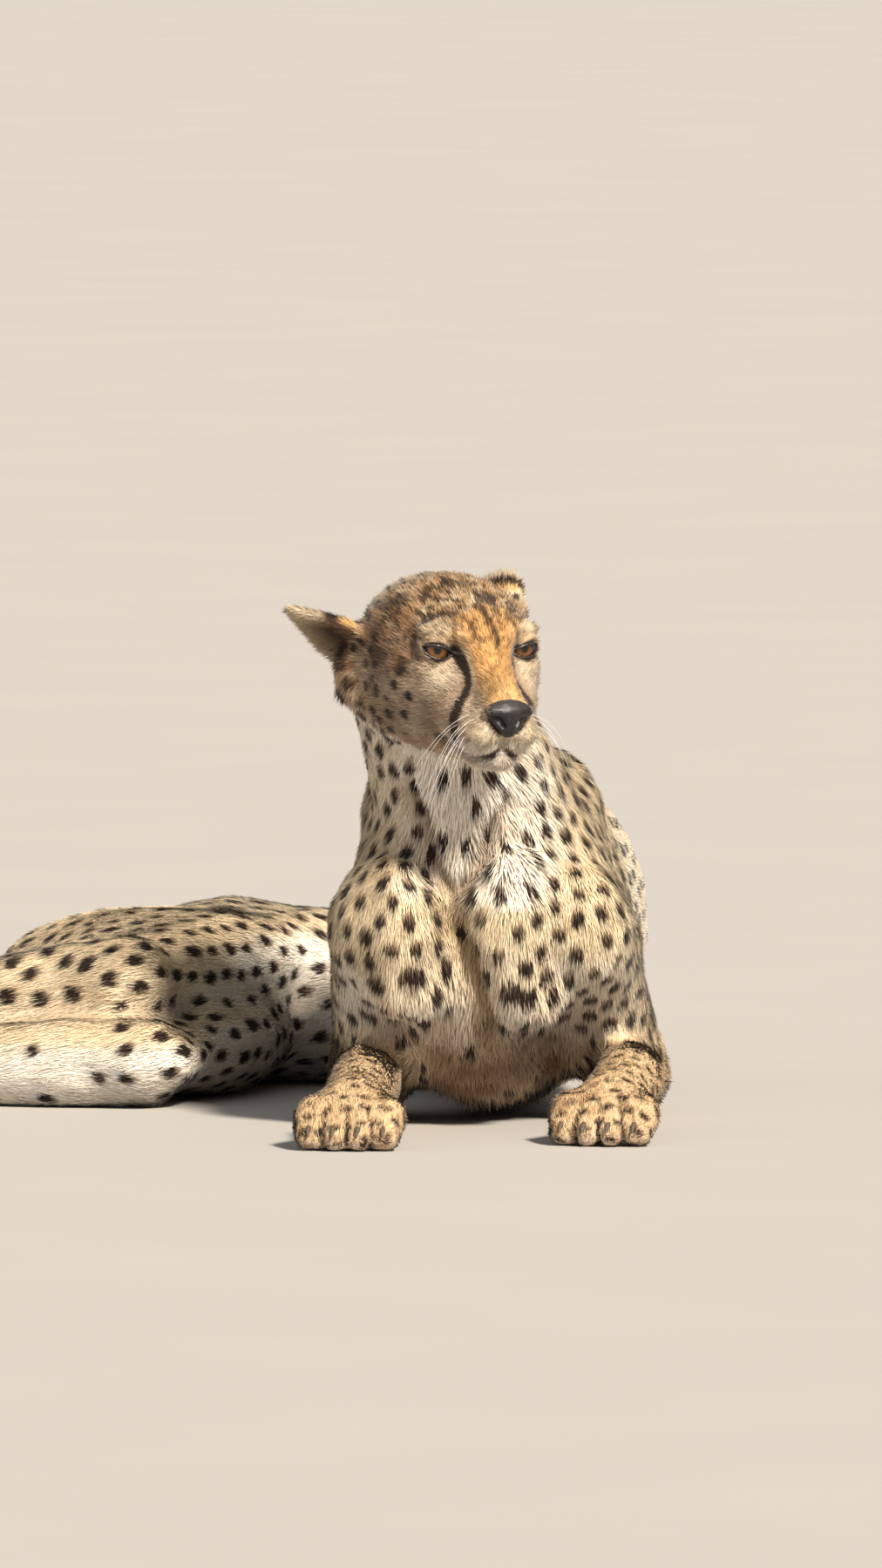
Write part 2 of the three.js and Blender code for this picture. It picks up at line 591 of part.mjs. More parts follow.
// What is set into a piece: its name, the piece that holds it, its colour, and its shape, which
// grows by a given amount to cut its own pocket.
function insets() {
  const list = [{ name: "nose", held: "head", shape: noseLeather, material: NOSE_LEATHER }];
  for (const [name, mirror] of [["eye_right", 1], ["eye_left", -1]]) {
    const { x, y, z } = inHead(EYE.x * mirror, EYE.y, EYE.z);
    const shape = (grow) => ball(EYE_RADIUS + grow).translate(x, y, z);
    list.push({ name, held: "head", shape, material: EYE_AMBER });
  }
  for (const which of ["right", "left"]) {
    const feet = [
      { held: `forepaw_${which}`, leg: JOINTS[which], size: FORE_PAW },
      { held: `hind_foot_${which}`, leg: hindEnd(JOINTS[which]), size: HIND_PAW },
    ];
    for (const { held, leg, size } of feet)
      toesOf(leg, size).forEach((toe, i) => {
        const shape = (grow) => claw(toe, grow);
        list.push({ name: `claw_${held}_${i + 1}`, held, shape, material: HORN });
      });
  }
  return list;
}

// ---- the model ----
const model = new THREE.Group();
model.name = "cheetah";

function add(name, geometry, material) {
  const mesh = new THREE.Mesh(geometry, material);
  mesh.name = name;
  model.add(mesh);
}

const form = body();
const whole = solid(surface(form, new THREE.Box3(V(-900, -300, -30), V(220, 560, 440)), 12));
const setIn = insets();
const PALE = ["chest", "neck"];

regions().forEach((region, i, all) => {
  const before = all.slice(0, i);
  const { min, max } = carve(whole, region, before, []).boundingBox();
  const box = new THREE.Box3(V(...min), V(...max)).expandByScalar(14);
  const fine = solid(simplify(surface(form, box, region.cell), region.faces));
  const pockets = setIn.filter(({ held }) => held === region.name).map(({ shape }) => solid(shape(GAP)));
  const cutOut = carve(fine, region, before, pockets);
  add(region.name, geometryOf(cutOut), PALE.includes(region.name) ? FUR_PALE : FUR_GOLD);
});
for (const { name, shape, material } of setIn) {
  add(name, geometryOf(solid(shape(0))), material);
}

// The origin is on the floor, under the middle of the animal.
const middle = new THREE.Box3().setFromObject(model).getCenter(V(0, 0, 0));
model.position.set(-middle.x, -middle.y, 0);

export default model;
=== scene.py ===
# %% [markdown]
# # A resting cheetah
#
# This script dresses the solids of a life-size cheetah: one skin over all the flesh, a coat of small
# locks of fur, and separate eyes, nose leather, claws and whiskers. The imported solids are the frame,
# so every place is measured from them.

# %% Load the frame
import math

import bmesh
import bpy
import numpy as np
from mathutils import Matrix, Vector
from mathutils.bvhtree import BVHTree
from mathutils.kdtree import KDTree


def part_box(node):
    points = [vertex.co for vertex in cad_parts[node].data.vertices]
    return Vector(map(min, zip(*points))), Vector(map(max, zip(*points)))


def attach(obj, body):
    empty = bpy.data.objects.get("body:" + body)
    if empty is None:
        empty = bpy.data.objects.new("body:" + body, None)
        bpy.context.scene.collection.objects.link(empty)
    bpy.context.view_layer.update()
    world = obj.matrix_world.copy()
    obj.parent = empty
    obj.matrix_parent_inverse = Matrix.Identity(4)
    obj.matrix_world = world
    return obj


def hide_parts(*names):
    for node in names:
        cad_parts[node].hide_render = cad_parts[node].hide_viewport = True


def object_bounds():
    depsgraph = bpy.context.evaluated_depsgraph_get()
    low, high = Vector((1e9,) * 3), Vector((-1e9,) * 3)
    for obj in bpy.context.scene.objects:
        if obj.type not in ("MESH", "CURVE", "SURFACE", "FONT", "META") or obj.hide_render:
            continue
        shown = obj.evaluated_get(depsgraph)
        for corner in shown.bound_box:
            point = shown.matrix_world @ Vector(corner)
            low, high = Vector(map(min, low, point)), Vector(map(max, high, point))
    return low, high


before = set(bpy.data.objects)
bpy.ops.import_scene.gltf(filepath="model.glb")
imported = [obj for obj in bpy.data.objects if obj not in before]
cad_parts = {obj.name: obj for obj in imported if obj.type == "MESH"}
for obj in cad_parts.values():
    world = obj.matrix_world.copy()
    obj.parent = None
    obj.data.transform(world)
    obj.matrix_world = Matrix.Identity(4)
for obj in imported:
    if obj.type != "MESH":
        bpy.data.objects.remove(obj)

CAD_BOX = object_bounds()
MM = 0.001
RNG = np.random.default_rng(7)
print("solids:", len(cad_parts), "box:", [round(v, 3) for v in CAD_BOX[1] - CAD_BOX[0]])

# %% [markdown]
# ## Where things are
#
# The two eyeballs and the nose fix the head: the line between the eyes points to the animal's right,
# and the nose lies a known angle below straight ahead. Everything on the face is then placed in the
# head's own millimetres: x to the animal's right, y forward, z up, from between the eyes.

# %% The head's own axes
NOSE_DIP = math.atan2(37, 60.5)  # the nose pad lies this far below the eyes' level


def centre_of(node):
    low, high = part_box(node)
    return (low + high) / 2


EYE_CENTRES = {"right": centre_of("eye_right"), "left": centre_of("eye_left")}
HEAD_AT = (EYE_CENTRES["right"] + EYE_CENTRES["left"]) / 2
HEAD_RIGHT = (EYE_CENTRES["right"] - EYE_CENTRES["left"]).normalized()
to_nose = centre_of("nose") - HEAD_AT
to_nose = (to_nose - HEAD_RIGHT * to_nose.dot(HEAD_RIGHT)).normalized()
HEAD_FORWARD = to_nose * math.cos(NOSE_DIP) + HEAD_RIGHT.cross(to_nose) * math.sin(NOSE_DIP)
HEAD_UP = HEAD_RIGHT.cross(HEAD_FORWARD)
HEAD_AXES = np.array([HEAD_RIGHT, HEAD_FORWARD, HEAD_UP])
print("head at", HEAD_AT, "forward", HEAD_FORWARD)


def to_head(points):
    """World metres to the head's own millimetres."""
    return (np.asarray(points) - np.array(HEAD_AT)) @ HEAD_AXES.T / MM


def from_head(points):
    return np.asarray(points) @ HEAD_AXES * MM + np.array(HEAD_AT)


# %% [markdown]
# ## Camera
#
# A long lens from far away, a little above the animal and level with its chest, so the body is drawn
# almost without perspective. The picture is tall, so the lens is set from the height that it takes in.

# %% Camera
VIEW_HEIGHT = 1.125  # metres of the scene from the top of the picture to its foot
CAMERA_DISTANCE = 15.0
CAMERA_ELEVATION = math.radians(3.5)
AIM = HEAD_AT + Vector((-0.0251, 0.168, -0.1063))

camera_data = bpy.data.cameras.new("camera")
camera = bpy.data.objects.new("camera", camera_data)
bpy.context.scene.collection.objects.link(camera)
back = Vector((0, -math.cos(CAMERA_ELEVATION), math.sin(CAMERA_ELEVATION)))
camera.location = AIM + back * CAMERA_DISTANCE
camera.rotation_euler = (-back).to_track_quat("-Z", "Y").to_euler()
camera_data.sensor_width = 36
camera_data.lens = camera_data.sensor_width * CAMERA_DISTANCE / VIEW_HEIGHT
camera_data.clip_start = 1
camera_data.clip_end = 400
bpy.context.scene.camera = camera
print("camera", camera.location, "lens", camera_data.lens)

# %% [markdown]
# ## Skin: from many solids to one
#
# The solids are parted by hair-thin cuts. Copies of them are swollen a little so that they overlap,
# and a voxel remesh melts them into one closed form. All voxels have one size, but the face needs
# finer ones than the flanks, so the head is magnified before the remesh and shrunk back after it.

# %% One closed form
NODES = sorted(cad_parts)
SWELL = 0.7 * MM
VOXEL = 5.0 * MM
MAGNIFIED = 3.2  # times, at the head's centre
LENS_REACH = 0.17  # metres from there to half that effect


def new_object(name, mesh):
    piece = bpy.data.objects.new(name, mesh)
    bpy.context.scene.collection.objects.link(piece)
    return piece


def copy_of(names, swell):
    """One mesh of merged copies of the named solids, each grown along its normals."""
    joined = bmesh.new()
    for name in names:
        part = bmesh.new()
        part.from_mesh(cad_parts[name].data)
        bmesh.ops.remove_doubles(part, verts=part.verts, dist=0.01 * MM)
        part.normal_update()
        for v in part.verts:
            v.co += v.normal * swell
        mesh = bpy.data.meshes.new("part")
        part.to_mesh(mesh)
        part.free()
        joined.from_mesh(mesh)
        bpy.data.meshes.remove(mesh)
    mesh = bpy.data.meshes.new("joined")
    joined.to_mesh(mesh)
    joined.free()
    return mesh


def applied(piece):
    """Turns a piece's modifiers into its mesh."""
    evaluated = piece.evaluated_get(bpy.context.evaluated_depsgraph_get())
    mesh = bpy.data.meshes.new_from_object(evaluated)
    piece.modifiers.clear()
    old, piece.data = piece.data, mesh
    bpy.data.meshes.remove(old)
    return piece


def read(items, field, width, kind=np.float32):
    """A field of all of a mesh's items, one row for each."""
    values = np.empty(len(items) * width, kind)
    items.foreach_get(field, values)
    return values.reshape(-1, width)


def coordinates(mesh):
    return read(mesh.vertices, "co", 3).astype(float)


def set_coordinates(mesh, co):
    mesh.vertices.foreach_set("co", np.ascontiguousarray(co, np.float32).ravel())
    mesh.update()


def shade_smooth(mesh):
    mesh.polygons.foreach_set("use_smooth", np.ones(len(mesh.polygons), bool))


def keep_on_points(mesh, name, values):
    """Stores a number, a vector or a colour for each point, for a material to read."""
    values = np.asarray(values, np.float32)
    kind, field = {1: ("FLOAT", "value"), 3: ("FLOAT_VECTOR", "vector"), 4: ("FLOAT_COLOR", "color")}[
        values.shape[1] if values.ndim > 1 else 1]
    mesh.attributes.new(name, kind, "POINT").data.foreach_set(field, values.ravel())


def opaque(colours):
    return np.column_stack((colours, np.ones(len(colours))))


def ease(x, low, high):
    """0 below low, 1 above high, and smooth between."""
    t = np.clip((np.asarray(x, float) - low) / (high - low), 0, 1)
    return t * t * (3 - 2 * t)


TRUE_RADII = np.linspace(0, 3, 3001)
SEEN_RADII = TRUE_RADII * (1 + (MAGNIFIED - 1) / (1 + (TRUE_RADII / LENS_REACH) ** 2))


def through_lens(co, from_radii, to_radii):
    """Moves points along their rays from the head's centre."""
    ray = co - np.array(HEAD_AT)
    radius = np.linalg.norm(ray, axis=1, keepdims=True) + 1e-9
    return np.array(HEAD_AT) + ray / radius * np.interp(radius, from_radii, to_radii)


def melted(piece, voxel):
    melt = piece.modifiers.new("melt", "REMESH")
    melt.mode, melt.voxel_size = "VOXEL", voxel
    return applied(piece)


skin = new_object("skin", copy_of([n for n in NODES if not n.startswith("claw")], SWELL))
set_coordinates(skin.data, through_lens(coordinates(skin.data), TRUE_RADII, SEEN_RADII))
melted(skin, VOXEL)
set_coordinates(skin.data, through_lens(coordinates(skin.data), SEEN_RADII, TRUE_RADII))
print("remeshed:", len(skin.data.vertices), "vertices")

# %% [markdown]
# ## Smoothing the skin
#
# The remesh keeps the solids' flat facets. Plain smoothing would also shrink the ears and toes, so
# each smoothing step is followed by one that pushes back a little further (Taubin's method). The same
# neighbour averages later blend the coat's traits from one part of the body into the next.

# %% Neighbours and smoothing
INWARD, OUTWARD = 0.5, -0.53  # shares of the way to the neighbours' mean
SMOOTHINGS = 24
POINTS = len(skin.data.vertices)
edge_ends = read(skin.data.edges, "vertices", 2, np.int32)
EDGE_A, EDGE_B = edge_ends.T
VALENCE = np.bincount(edge_ends.ravel(), minlength=POINTS)[:, None]


def around(values):
    """Each skin point's mean over its neighbours."""
    sums = [np.bincount(EDGE_A, v[EDGE_B], POINTS) + np.bincount(EDGE_B, v[EDGE_A], POINTS)
            for v in values.T]
    return np.stack(sums, axis=1) / VALENCE


def spread(values, times):
    values = np.asarray(values, float).reshape(POINTS, -1)
    for _ in range(times):
        values = (values + around(values)) / 2
    return values


def smoothed(co, times):
    for _ in range(times):
        for step in (INWARD, OUTWARD):
            co = co + step * (around(co) - co)
    return co


def normals_of(piece, co):
    set_coordinates(piece.data, co)
    return read(piece.data.vertex_normals, "vector", 3).astype(float)


surface = smoothed(coordinates(skin.data), SMOOTHINGS)
normals = normals_of(skin, surface)
print("smoothed", POINTS, "points")

# %% [markdown]
# ## Which part of the body each point belongs to
#
# Coat length, lie and markings change from part to part. Each skin point takes the name of the
# nearest solid, and a table gives that part's coat. Spreading the table's numbers over the skin
# turns the steps between the parts into soft changes.

# %% Parts and their coat
FLESH = [n for n in NODES if not n.startswith(("eye", "nose", "claw"))]
COAT = {
    # the coat's depth, a tuft's length and width in mm, its lift in degrees, tufts to a square cm
    "head": (2.8, 7.2, 1.1, 22, 116), "ear": (1.4, 6.5, 1.0, 26, 100), "neck": (4.4, 10, 1.35, 17, 62),
    "chest": (5.5, 13, 1.5, 19, 50), "ribs": (3.4, 9.5, 1.7, 13, 27), "loin": (3.4, 9.5, 1.7, 13, 25),
    "rump": (3.4, 9.5, 1.7, 13, 27), "upper_arm": (4.2, 11, 1.5, 16, 48),
    "forearm": (2.4, 8.2, 1.65, 16, 29), "forepaw": (1.6, 6.2, 1.5, 17, 37),
    "thigh": (3.4, 9.5, 1.7, 14, 29), "shank": (2.8, 9, 1.6, 14, 27),
    "hind_foot": (1.8, 7.0, 1.6, 17, 24), "tail": (4.0, 11, 1.9, 16, 25),
}
KINDS = sorted(COAT, key=len, reverse=True)


def kind_of(node):
    return next(k for k in KINDS if node.startswith(k))


def tree_of(names):
    """A search tree over the named solids, and the name behind each of its faces."""
    points, faces, owners = [], [], []
    for name in names:
        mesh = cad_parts[name].data
        start = len(points)
        points.extend(v.co.copy() for v in mesh.vertices)
        faces.extend([start + i for i in p.vertices] for p in mesh.polygons)
        owners.extend([name] * len(mesh.polygons))
    return BVHTree.FromPolygons(points, faces), owners


flesh_tree, face_owner = tree_of(FLESH)
owner = np.array([FLESH.index(face_owner[flesh_tree.find_nearest(Vector(p))[2]]) for p in surface])
traits = np.array([COAT[kind_of(FLESH[i])] for i in range(len(FLESH))])[owner]


def of_kind(*kinds):
    """1 on the named parts of the body and 0 elsewhere."""
    return np.isin(owner, [i for i, n in enumerate(FLESH) if n.startswith(kinds)]).astype(float)


def centre(node):
    return np.array(centre_of(node))


in_head = to_head(surface)
print({n: int((owner == i).sum()) for i, n in enumerate(FLESH)})

# %% [markdown]
# ## The long soft places
#
# A cheetah's coat is short nearly everywhere. It is long and soft on the throat, the chest, the inner
# sides of the upper arms and the belly. On the throat, chest and arms the traits move towards a longer,
# looser coat.

# %% Long and short coat
# the same five numbers as in the table of coats
LONG_COAT = np.array((8.0, 19, 1.4, 22, 32))
FACE_COAT = np.array((1.2, 4.2, 0.95, 20, 125))
TRAIT_SPREAD = 30  # how many times the steps between parts are averaged out
NOSE_TIP = to_head([centre("nose")])[0]

facing_camera = -normals[:, 1]
from_middle = np.abs(surface[:, 0] - centre("chest")[0])
arm_inner = (of_kind("upper_arm") * ease(facing_camera, 0.0, 0.6) * ease(from_middle, 0.075, 0.045)
             * ease(surface[:, 2], 0.15, 0.10))
throat = ease(in_head[:, 2], -76, -100) * ease(facing_camera, -0.2, 0.5) * ease(from_middle, 0.06, 0.03)
long_coat = np.clip(of_kind("chest") * ease(facing_camera, -0.1, 0.5) + 0.6 * arm_inner
                    + of_kind("neck") * throat * 0.7, 0, 1)
long_coat = spread(long_coat, 24)
from_nose = np.linalg.norm(in_head - NOSE_TIP, axis=1)
face = of_kind("head")[:, None] * (1 - ease(from_nose, 30, 125))[:, None]

traits = spread(traits, TRAIT_SPREAD)
face = spread(face, 6)
traits += (LONG_COAT - traits) * long_coat
traits += (FACE_COAT - traits) * face
DEPTH, LENGTH, WIDTH, LIFT, CROWD = range(5)
print("coat length from", traits[:, LENGTH].min().round(1), "to", traits[:, LENGTH].max().round(1))

# %% [markdown]
# ## The lie of the coat
#
# Hair grows away from the nose, back over the skull, down the neck and legs and along the body to the
# tail. Each part gets one direction, from where its hair comes to where it goes. On the head it
# points away from the nose. Spread over the skin and laid flat on it, these make one smooth flow.

# %% Flow
FLOW_SPREAD = 50
COURSES = {  # the hair of a part runs along the line from the first solid to the second
    "neck": ("head", "chest"), "ribs": ("chest", "loin"), "loin": ("ribs", "rump"),
    "rump": ("loin", "tail_base"), "tail_base": ("rump", "tail_middle"),
    "tail_middle": ("tail_base", "tail_tip"), "tail_tip": ("tail_middle", "tail_tip"),
}
FLOW = {"chest": (0, 0.35, -1)}
for side in ("left", "right"):
    FLOW["upper_arm_" + side] = (0, 0.25, -1)
    for part, first, last in (("ear", "head", "ear_{}"), ("forearm", "forearm_{}", "forepaw_{}"),
                              ("forepaw", "forearm_{}", "claw_forepaw_{}_2"), ("thigh", "rump", "shank_{}"),
                              ("shank", "thigh_{}", "hind_foot_{}"),
                              ("hind_foot", "shank_{}", "claw_hind_foot_{}_2")):
        COURSES[f"{part}_{side}"] = first.format(side), last.format(side)
for part, (first, last) in COURSES.items():
    FLOW[part] = centre(last) - centre(first)


def unit(vectors):
    return vectors / (np.linalg.norm(vectors, axis=-1, keepdims=True) + 1e-12)


def flat_on(vectors, normals):
    return unit(vectors - normals * (vectors * normals).sum(axis=1, keepdims=True))


guides = np.array([unit(np.array(FLOW.get(n, (0, 0, 0)), float)) for n in FLESH])[owner]
# on the front of the body it falls forward off every upper side, like water
front = of_kind("neck", "chest", "upper_arm") * ease(facing_camera, -0.2, 0.3)
guides[:, 1] -= 0.9 * normals[:, 2] * front
away_from_nose = unit(in_head - NOSE_TIP - np.array((0, 6, 4))) @ HEAD_AXES
on_head = of_kind("head")[:, None]
flow = guides * (1 - on_head) + away_from_nose * on_head
flow = flat_on(spread(flow, FLOW_SPREAD) + 0.3 * flow * on_head, normals)
print("flow laid over", len(flow), "points")

# %% [markdown]
# ## Down to the skin
#
# The solids reach out to the tips of the coat, so the skin lies inside them by the coat's depth. It
# sinks deeper along the folds at the foot of the throat and between the arms, in the other hollows,
# and between the toes. Low on the front the coat fills the hollows instead. Folds get painted shade,
# and their hair is shorter.

# %% Folds and the skin under the coat
FOLD_WIDTH, FOLD_DEPTH = 6.5, 10  # mm
TOE_GAP_WIDTH, TOE_GAP_DEPTH = 2.6, 5.5
TOE_GAP_FADE = 0.004  # metres added to the distance at a gap's rear end
HOLLOW_SPREAD, DEEPEST_HOLLOW = 90, 9
FLOOR_GAP = 0.8 * MM
# seen from the front, in mm from the middle of the chest: the fold round the throat's foot, which
# meets in a V, and the cleft that runs down from it between the arms
FOLD_LINES = [np.array(line, float) for line in (
    [(-56, 105), (-47, 88), (-38, 58), (-22, 30)], [(18, 92), (8, 76), (-8, 48), (-22, 30)],
    [(-22, 30), (-24, 16), (-16, -9), (-8, -35), (5, -68)])]


def line_distance(q, path):
    """The distance to a line through the path's points, and how far along it that is from 0 to 1."""
    best = np.full(len(q), 1e9)
    along = np.zeros(len(q))
    for i, (a, b) in enumerate(zip(path[:-1], path[1:])):
        t = np.clip((q - a) @ (b - a) / ((b - a) @ (b - a)), 0, 1)
        d = np.linalg.norm(q - a - t[:, None] * (b - a), axis=1)
        nearer = d < best
        best[nearer] = d[nearer]
        along[nearer] = (i + t[nearer]) / (len(path) - 1)
    return best, along


def seen_fold(p):
    """How near a place is to one of the folds as seen from the front, from 0 to 1."""
    flat = (p - centre("chest"))[:, (0, 2)] / MM
    gap = np.min([line_distance(flat, line)[0] for line in FOLD_LINES], axis=0)
    return np.exp(-(gap / FOLD_WIDTH) ** 2)


creased = seen_fold(surface) * ease(facing_camera, -0.1, 0.35) * of_kind("neck", "chest", "upper_arm")
creased = spread(creased, 2)[:, 0]
hollow = ((spread(surface, HOLLOW_SPREAD) - surface) * normals).sum(axis=1) / MM
hollow = spread(np.clip(hollow, 0, DEEPEST_HOLLOW), 3)[:, 0] * (1 - on_head[:, 0])
low_front = spread(of_kind("chest", "upper_arm", "forearm") * ease(surface[:, 2], 0.12, 0.08), 8)[:, 0]
fold = np.maximum(0.6 * ease(hollow, 1.5, 7.0) * (1 - low_front), creased)
traits[:, LENGTH] *= 1 - 0.35 * fold
print("folds cover", round(float(fold.mean()), 3), "of the skin, the deepest", hollow.max().round(1), "mm")

CLAWS = [n for n in NODES if n.startswith("claw")]
TOE_GAPS = []
for paw in sorted({name[5:-2] for name in CLAWS}):
    tips = [centre(name) for name in CLAWS if paw in name]
    for one, two in zip(tips[:-1], tips[1:]):
        between = (one + two) / 2
        back = unit(centre(paw) - between) * (1, 1, 0)
        TOE_GAPS.append((between - back * 12 * MM, between + back * 30 * MM))


def toe_gap(p):
    """How near a place is to a gap between two toes, from 0 to 1, seen from above."""
    nearest = np.full(len(p), 1.0)
    for front, rear in TOE_GAPS:
        step = (rear - front)[:2]
        t = np.clip((p[:, :2] - front[:2]) @ step / (step @ step), 0, 1)
        apart = np.linalg.norm(p[:, :2] - front[:2] - t[:, None] * step, axis=1)
        nearest = np.minimum(nearest, apart + TOE_GAP_FADE * t)
    return np.exp(-(nearest / (TOE_GAP_WIDTH * MM)) ** 2)


toes = toe_gap(surface) * of_kind("forepaw", "hind_foot")
filled = (of_kind("chest", "upper_arm", "forearm") * ease(surface[:, 2], 0.13, 0.09)
          * ease(facing_camera, -0.4, 0.0))
sunk = (traits[:, DEPTH] + (0.45 - 1.1 * filled) * hollow + FOLD_DEPTH * creased * (1 - 0.6 * filled)
        + TOE_GAP_DEPTH * toes)
surface = surface - normals * sunk[:, None] * MM
surface[:, 2] = np.maximum(surface[:, 2], FLOOR_GAP)
normals = normals_of(skin, surface)
in_head = to_head(surface)
print("skin box", (surface.max(0) - surface.min(0)).round(3))

# %% [markdown]
# ## Lids, mouth and nose bed
#
# A cheetah's eyes are almonds: the inner corner runs down towards the nose and the outer one is
# higher. The opening is described on the eyeball by two angles, outward and up. Skin inside it sinks
# behind the eyeball, and skin round it is held a lid's thickness in front. The mouth is a groove that
# follows a line from under the nose to its corner, and the skin sinks a little where the nose lies.

# %% Face forms
EYE = np.array((to_head([EYE_CENTRES["right"]])[0][0], 0, 0))
BALL_RADIUS = 13.1  # mm, of the eyeball that shows
LID_RADIUS = 14.3
EYE_TURN, EYE_LIFT = math.radians(14), math.radians(7)  # the opening's middle, outward and up
EYE_HALF_WIDTH, EYE_HALF_HEIGHT = math.radians(55), math.radians(22.5)
UPPER_LID = 0.74  # the upper lid's arch against the lower one's
EYE_SLANT = 0.16  # how much the opening rises for each step outward
SOCKET_REACH = 24
SUNK_SHARE = 0.86  # how far the skin inside the opening sinks, as a share of the ball's radius
HOOD = 2.6  # mm by which the brow's skin stands out over the upper lid
MOUTH = np.array([(0, 58, -60.5), (3, 57, -62.5), (9, 54.5, -67), (16, 47.5, -70.5), (22, 40, -69.5),
                  (28, 31, -64), (33, 19, -58)], float)
PHILTRUM = np.array([(0, 63, -49), (0, 59.5, -56), (0, 58, -60.5)], float)


def folded(q):
    """Points on either side of the head, all brought to its right side."""
    return np.column_stack((np.abs(q[:, 0]), q[:, 1:]))


def eye_angles(q):
    """How far outward and up a direction lies from the middle of the eye's opening."""
    ray = unit(folded(q) - EYE)
    out = np.arctan2(ray[:, 0], ray[:, 1]) - EYE_TURN
    up = np.arcsin(np.clip(ray[:, 2], -1, 1)) - EYE_LIFT - EYE_SLANT * out
    return out, up


def lid_height(along, upper):
    """How far the lid's edge lies above or below the eye's middle, from there to a corner at 1."""
    return EYE_HALF_HEIGHT * (1 - np.abs(along) ** 2.2) * np.where(upper, UPPER_LID, 1)


def almond(out, up):
    """Below 1 inside the opening, and 1 on the edge of the lids."""
    along = np.abs(out) / EYE_HALF_WIDTH
    return np.maximum(np.abs(up) / (lid_height(np.clip(along, 0, 1), up > 0) + 1e-3), along)


out, up = eye_angles(in_head)
ray = folded(in_head) - EYE
reach = np.linalg.norm(ray, axis=1)
near_eye = (reach < SOCKET_REACH) & (ray[:, 1] > -6) & (on_head[:, 0] > 0)
opening = almond(out, up)
inside = near_eye & (opening < 1)
lids = near_eye & ~inside
target = reach.copy()
target[inside] = BALL_RADIUS * SUNK_SHARE
target[lids] = np.maximum(reach[lids], LID_RADIUS - 0.9 * ease(opening[lids], 1.1, 1.9))
target[lids] += HOOD * np.exp(-((opening[lids] - 1.75) / 0.45) ** 2) * ease(up[lids], 0.1, 0.4)
shift = unit(ray) * (target - reach)[:, None]
shift[in_head[:, 0] < 0, 0] *= -1
in_head = in_head + shift

mouth_gap, lip_gap = (line_distance(folded(in_head), line)[0] for line in (MOUTH, PHILTRUM))
NOSE_REACH = (17.5, 14, 14)
nose_gap = np.linalg.norm((in_head - NOSE_TIP) / NOSE_REACH, axis=1)
sink = (3.4 * np.exp(-(mouth_gap / 2.0) ** 2) + 2.2 * np.exp(-(lip_gap / 1.5) ** 2)
        + 2.0 * (1 - ease(nose_gap, 0.75, 1.1)) + 7 * (1 - ease(nose_gap, 0.6, 0.85)))
head_normals = normals @ HEAD_AXES.T
in_head = in_head - head_normals * (sink * on_head[:, 0])[:, None]

surface = from_head(in_head)
normals = normals_of(skin, surface)
print("inside the lids:", int(inside.sum()), "on the lids:", int(lids.sum()))

# %% [markdown]
# ## Spots
#
# A cheetah's spots are solid, round and evenly strewn, and never quite regular. Darts thrown at the
# skin, each kept only if it lands far enough from those kept before, give just that. The least
# distance depends on the part of the body, and each spot's size follows that distance.

# %% Strewn spots
SPOT_GAP = {  # mm between neighbours
    "head": 11, "ear": 16, "neck": 17, "chest": 21, "ribs": 20, "loin": 20, "rump": 20, "upper_arm": 18,
    "forearm": 17, "forepaw": 12, "thigh": 19, "shank": 21, "hind_foot": 14, "tail": 25,
}
DARTS = 60000
LEAST_GAP = 0.86  # of the gap in the table
PUSHES, PUSH_REACH, PUSH_STEP = 4, 1.15, 0.22
GONE = 1e-6  # the radius of a spot that is left out


def mesh_triangles(mesh):
    mesh.calc_loop_triangles()
    return read(mesh.loop_triangles, "vertices", 3, np.int32)


TRIANGLES = mesh_triangles(skin.data)
first, second, third = (surface[TRIANGLES[:, i]] for i in range(3))
AREAS = np.linalg.norm(np.cross(second - first, third - first), axis=1) / 2


def strewn(count, crowd):
    """Random places on the skin, as triangle numbers and weights of their corners."""
    share = np.cumsum(AREAS * crowd[TRIANGLES].mean(axis=1))
    steps = (np.arange(count) + RNG.random(count)) / count * share[-1]
    where = np.minimum(np.searchsorted(share, steps), len(TRIANGLES) - 1)
    u, v = RNG.random((2, count))
    folded_over = u + v > 1
    u[folded_over], v[folded_over] = 1 - u[folded_over], 1 - v[folded_over]
    return where, np.column_stack((1 - u - v, u, v))


def at(values, where, weights):
    """A skin value at strewn places."""
    values = np.asarray(values, float).reshape(POINTS, -1)
    return sum(values[TRIANGLES[where, i]] * weights[:, i, None] for i in range(3))


# %% Thrown darts
gap = spread([SPOT_GAP[kind_of(FLESH[i])] for i in owner], 12)
where, weights = strewn(DARTS, np.ones(POINTS))
order = RNG.permutation(DARTS)
dart_at = at(surface, where, weights)[order]
dart_gap = at(gap, where, weights)[order, 0] * MM
kept = np.zeros((0, 3))
chosen = []
for i in range(DARTS):
    if not len(kept) or ((kept - dart_at[i]) ** 2).sum(axis=1).min() > (LEAST_GAP * dart_gap[i]) ** 2:
        chosen.append(i)
        kept = np.vstack((kept, dart_at[i]))
SPOT_AT, SPOT_GAPS = dart_at[chosen], dart_gap[chosen]
skin_tree = BVHTree.FromPolygons([Vector(v) for v in surface], TRIANGLES.tolist())
for _ in range(PUSHES):  # neighbours push each other apart, which evens the rows out
    arms = SPOT_AT[:, None] - SPOT_AT[None]
    near = (arms ** 2).sum(axis=2) ** 0.5
    push = np.maximum(PUSH_REACH * SPOT_GAPS[:, None] - near, 0) * (near > 1e-9)
    SPOT_AT = SPOT_AT + PUSH_STEP * (arms / (near[..., None] + 1e-9) * push[..., None]).sum(axis=1)
    SPOT_AT = np.array([skin_tree.find_nearest(Vector(place))[0] for place in SPOT_AT])

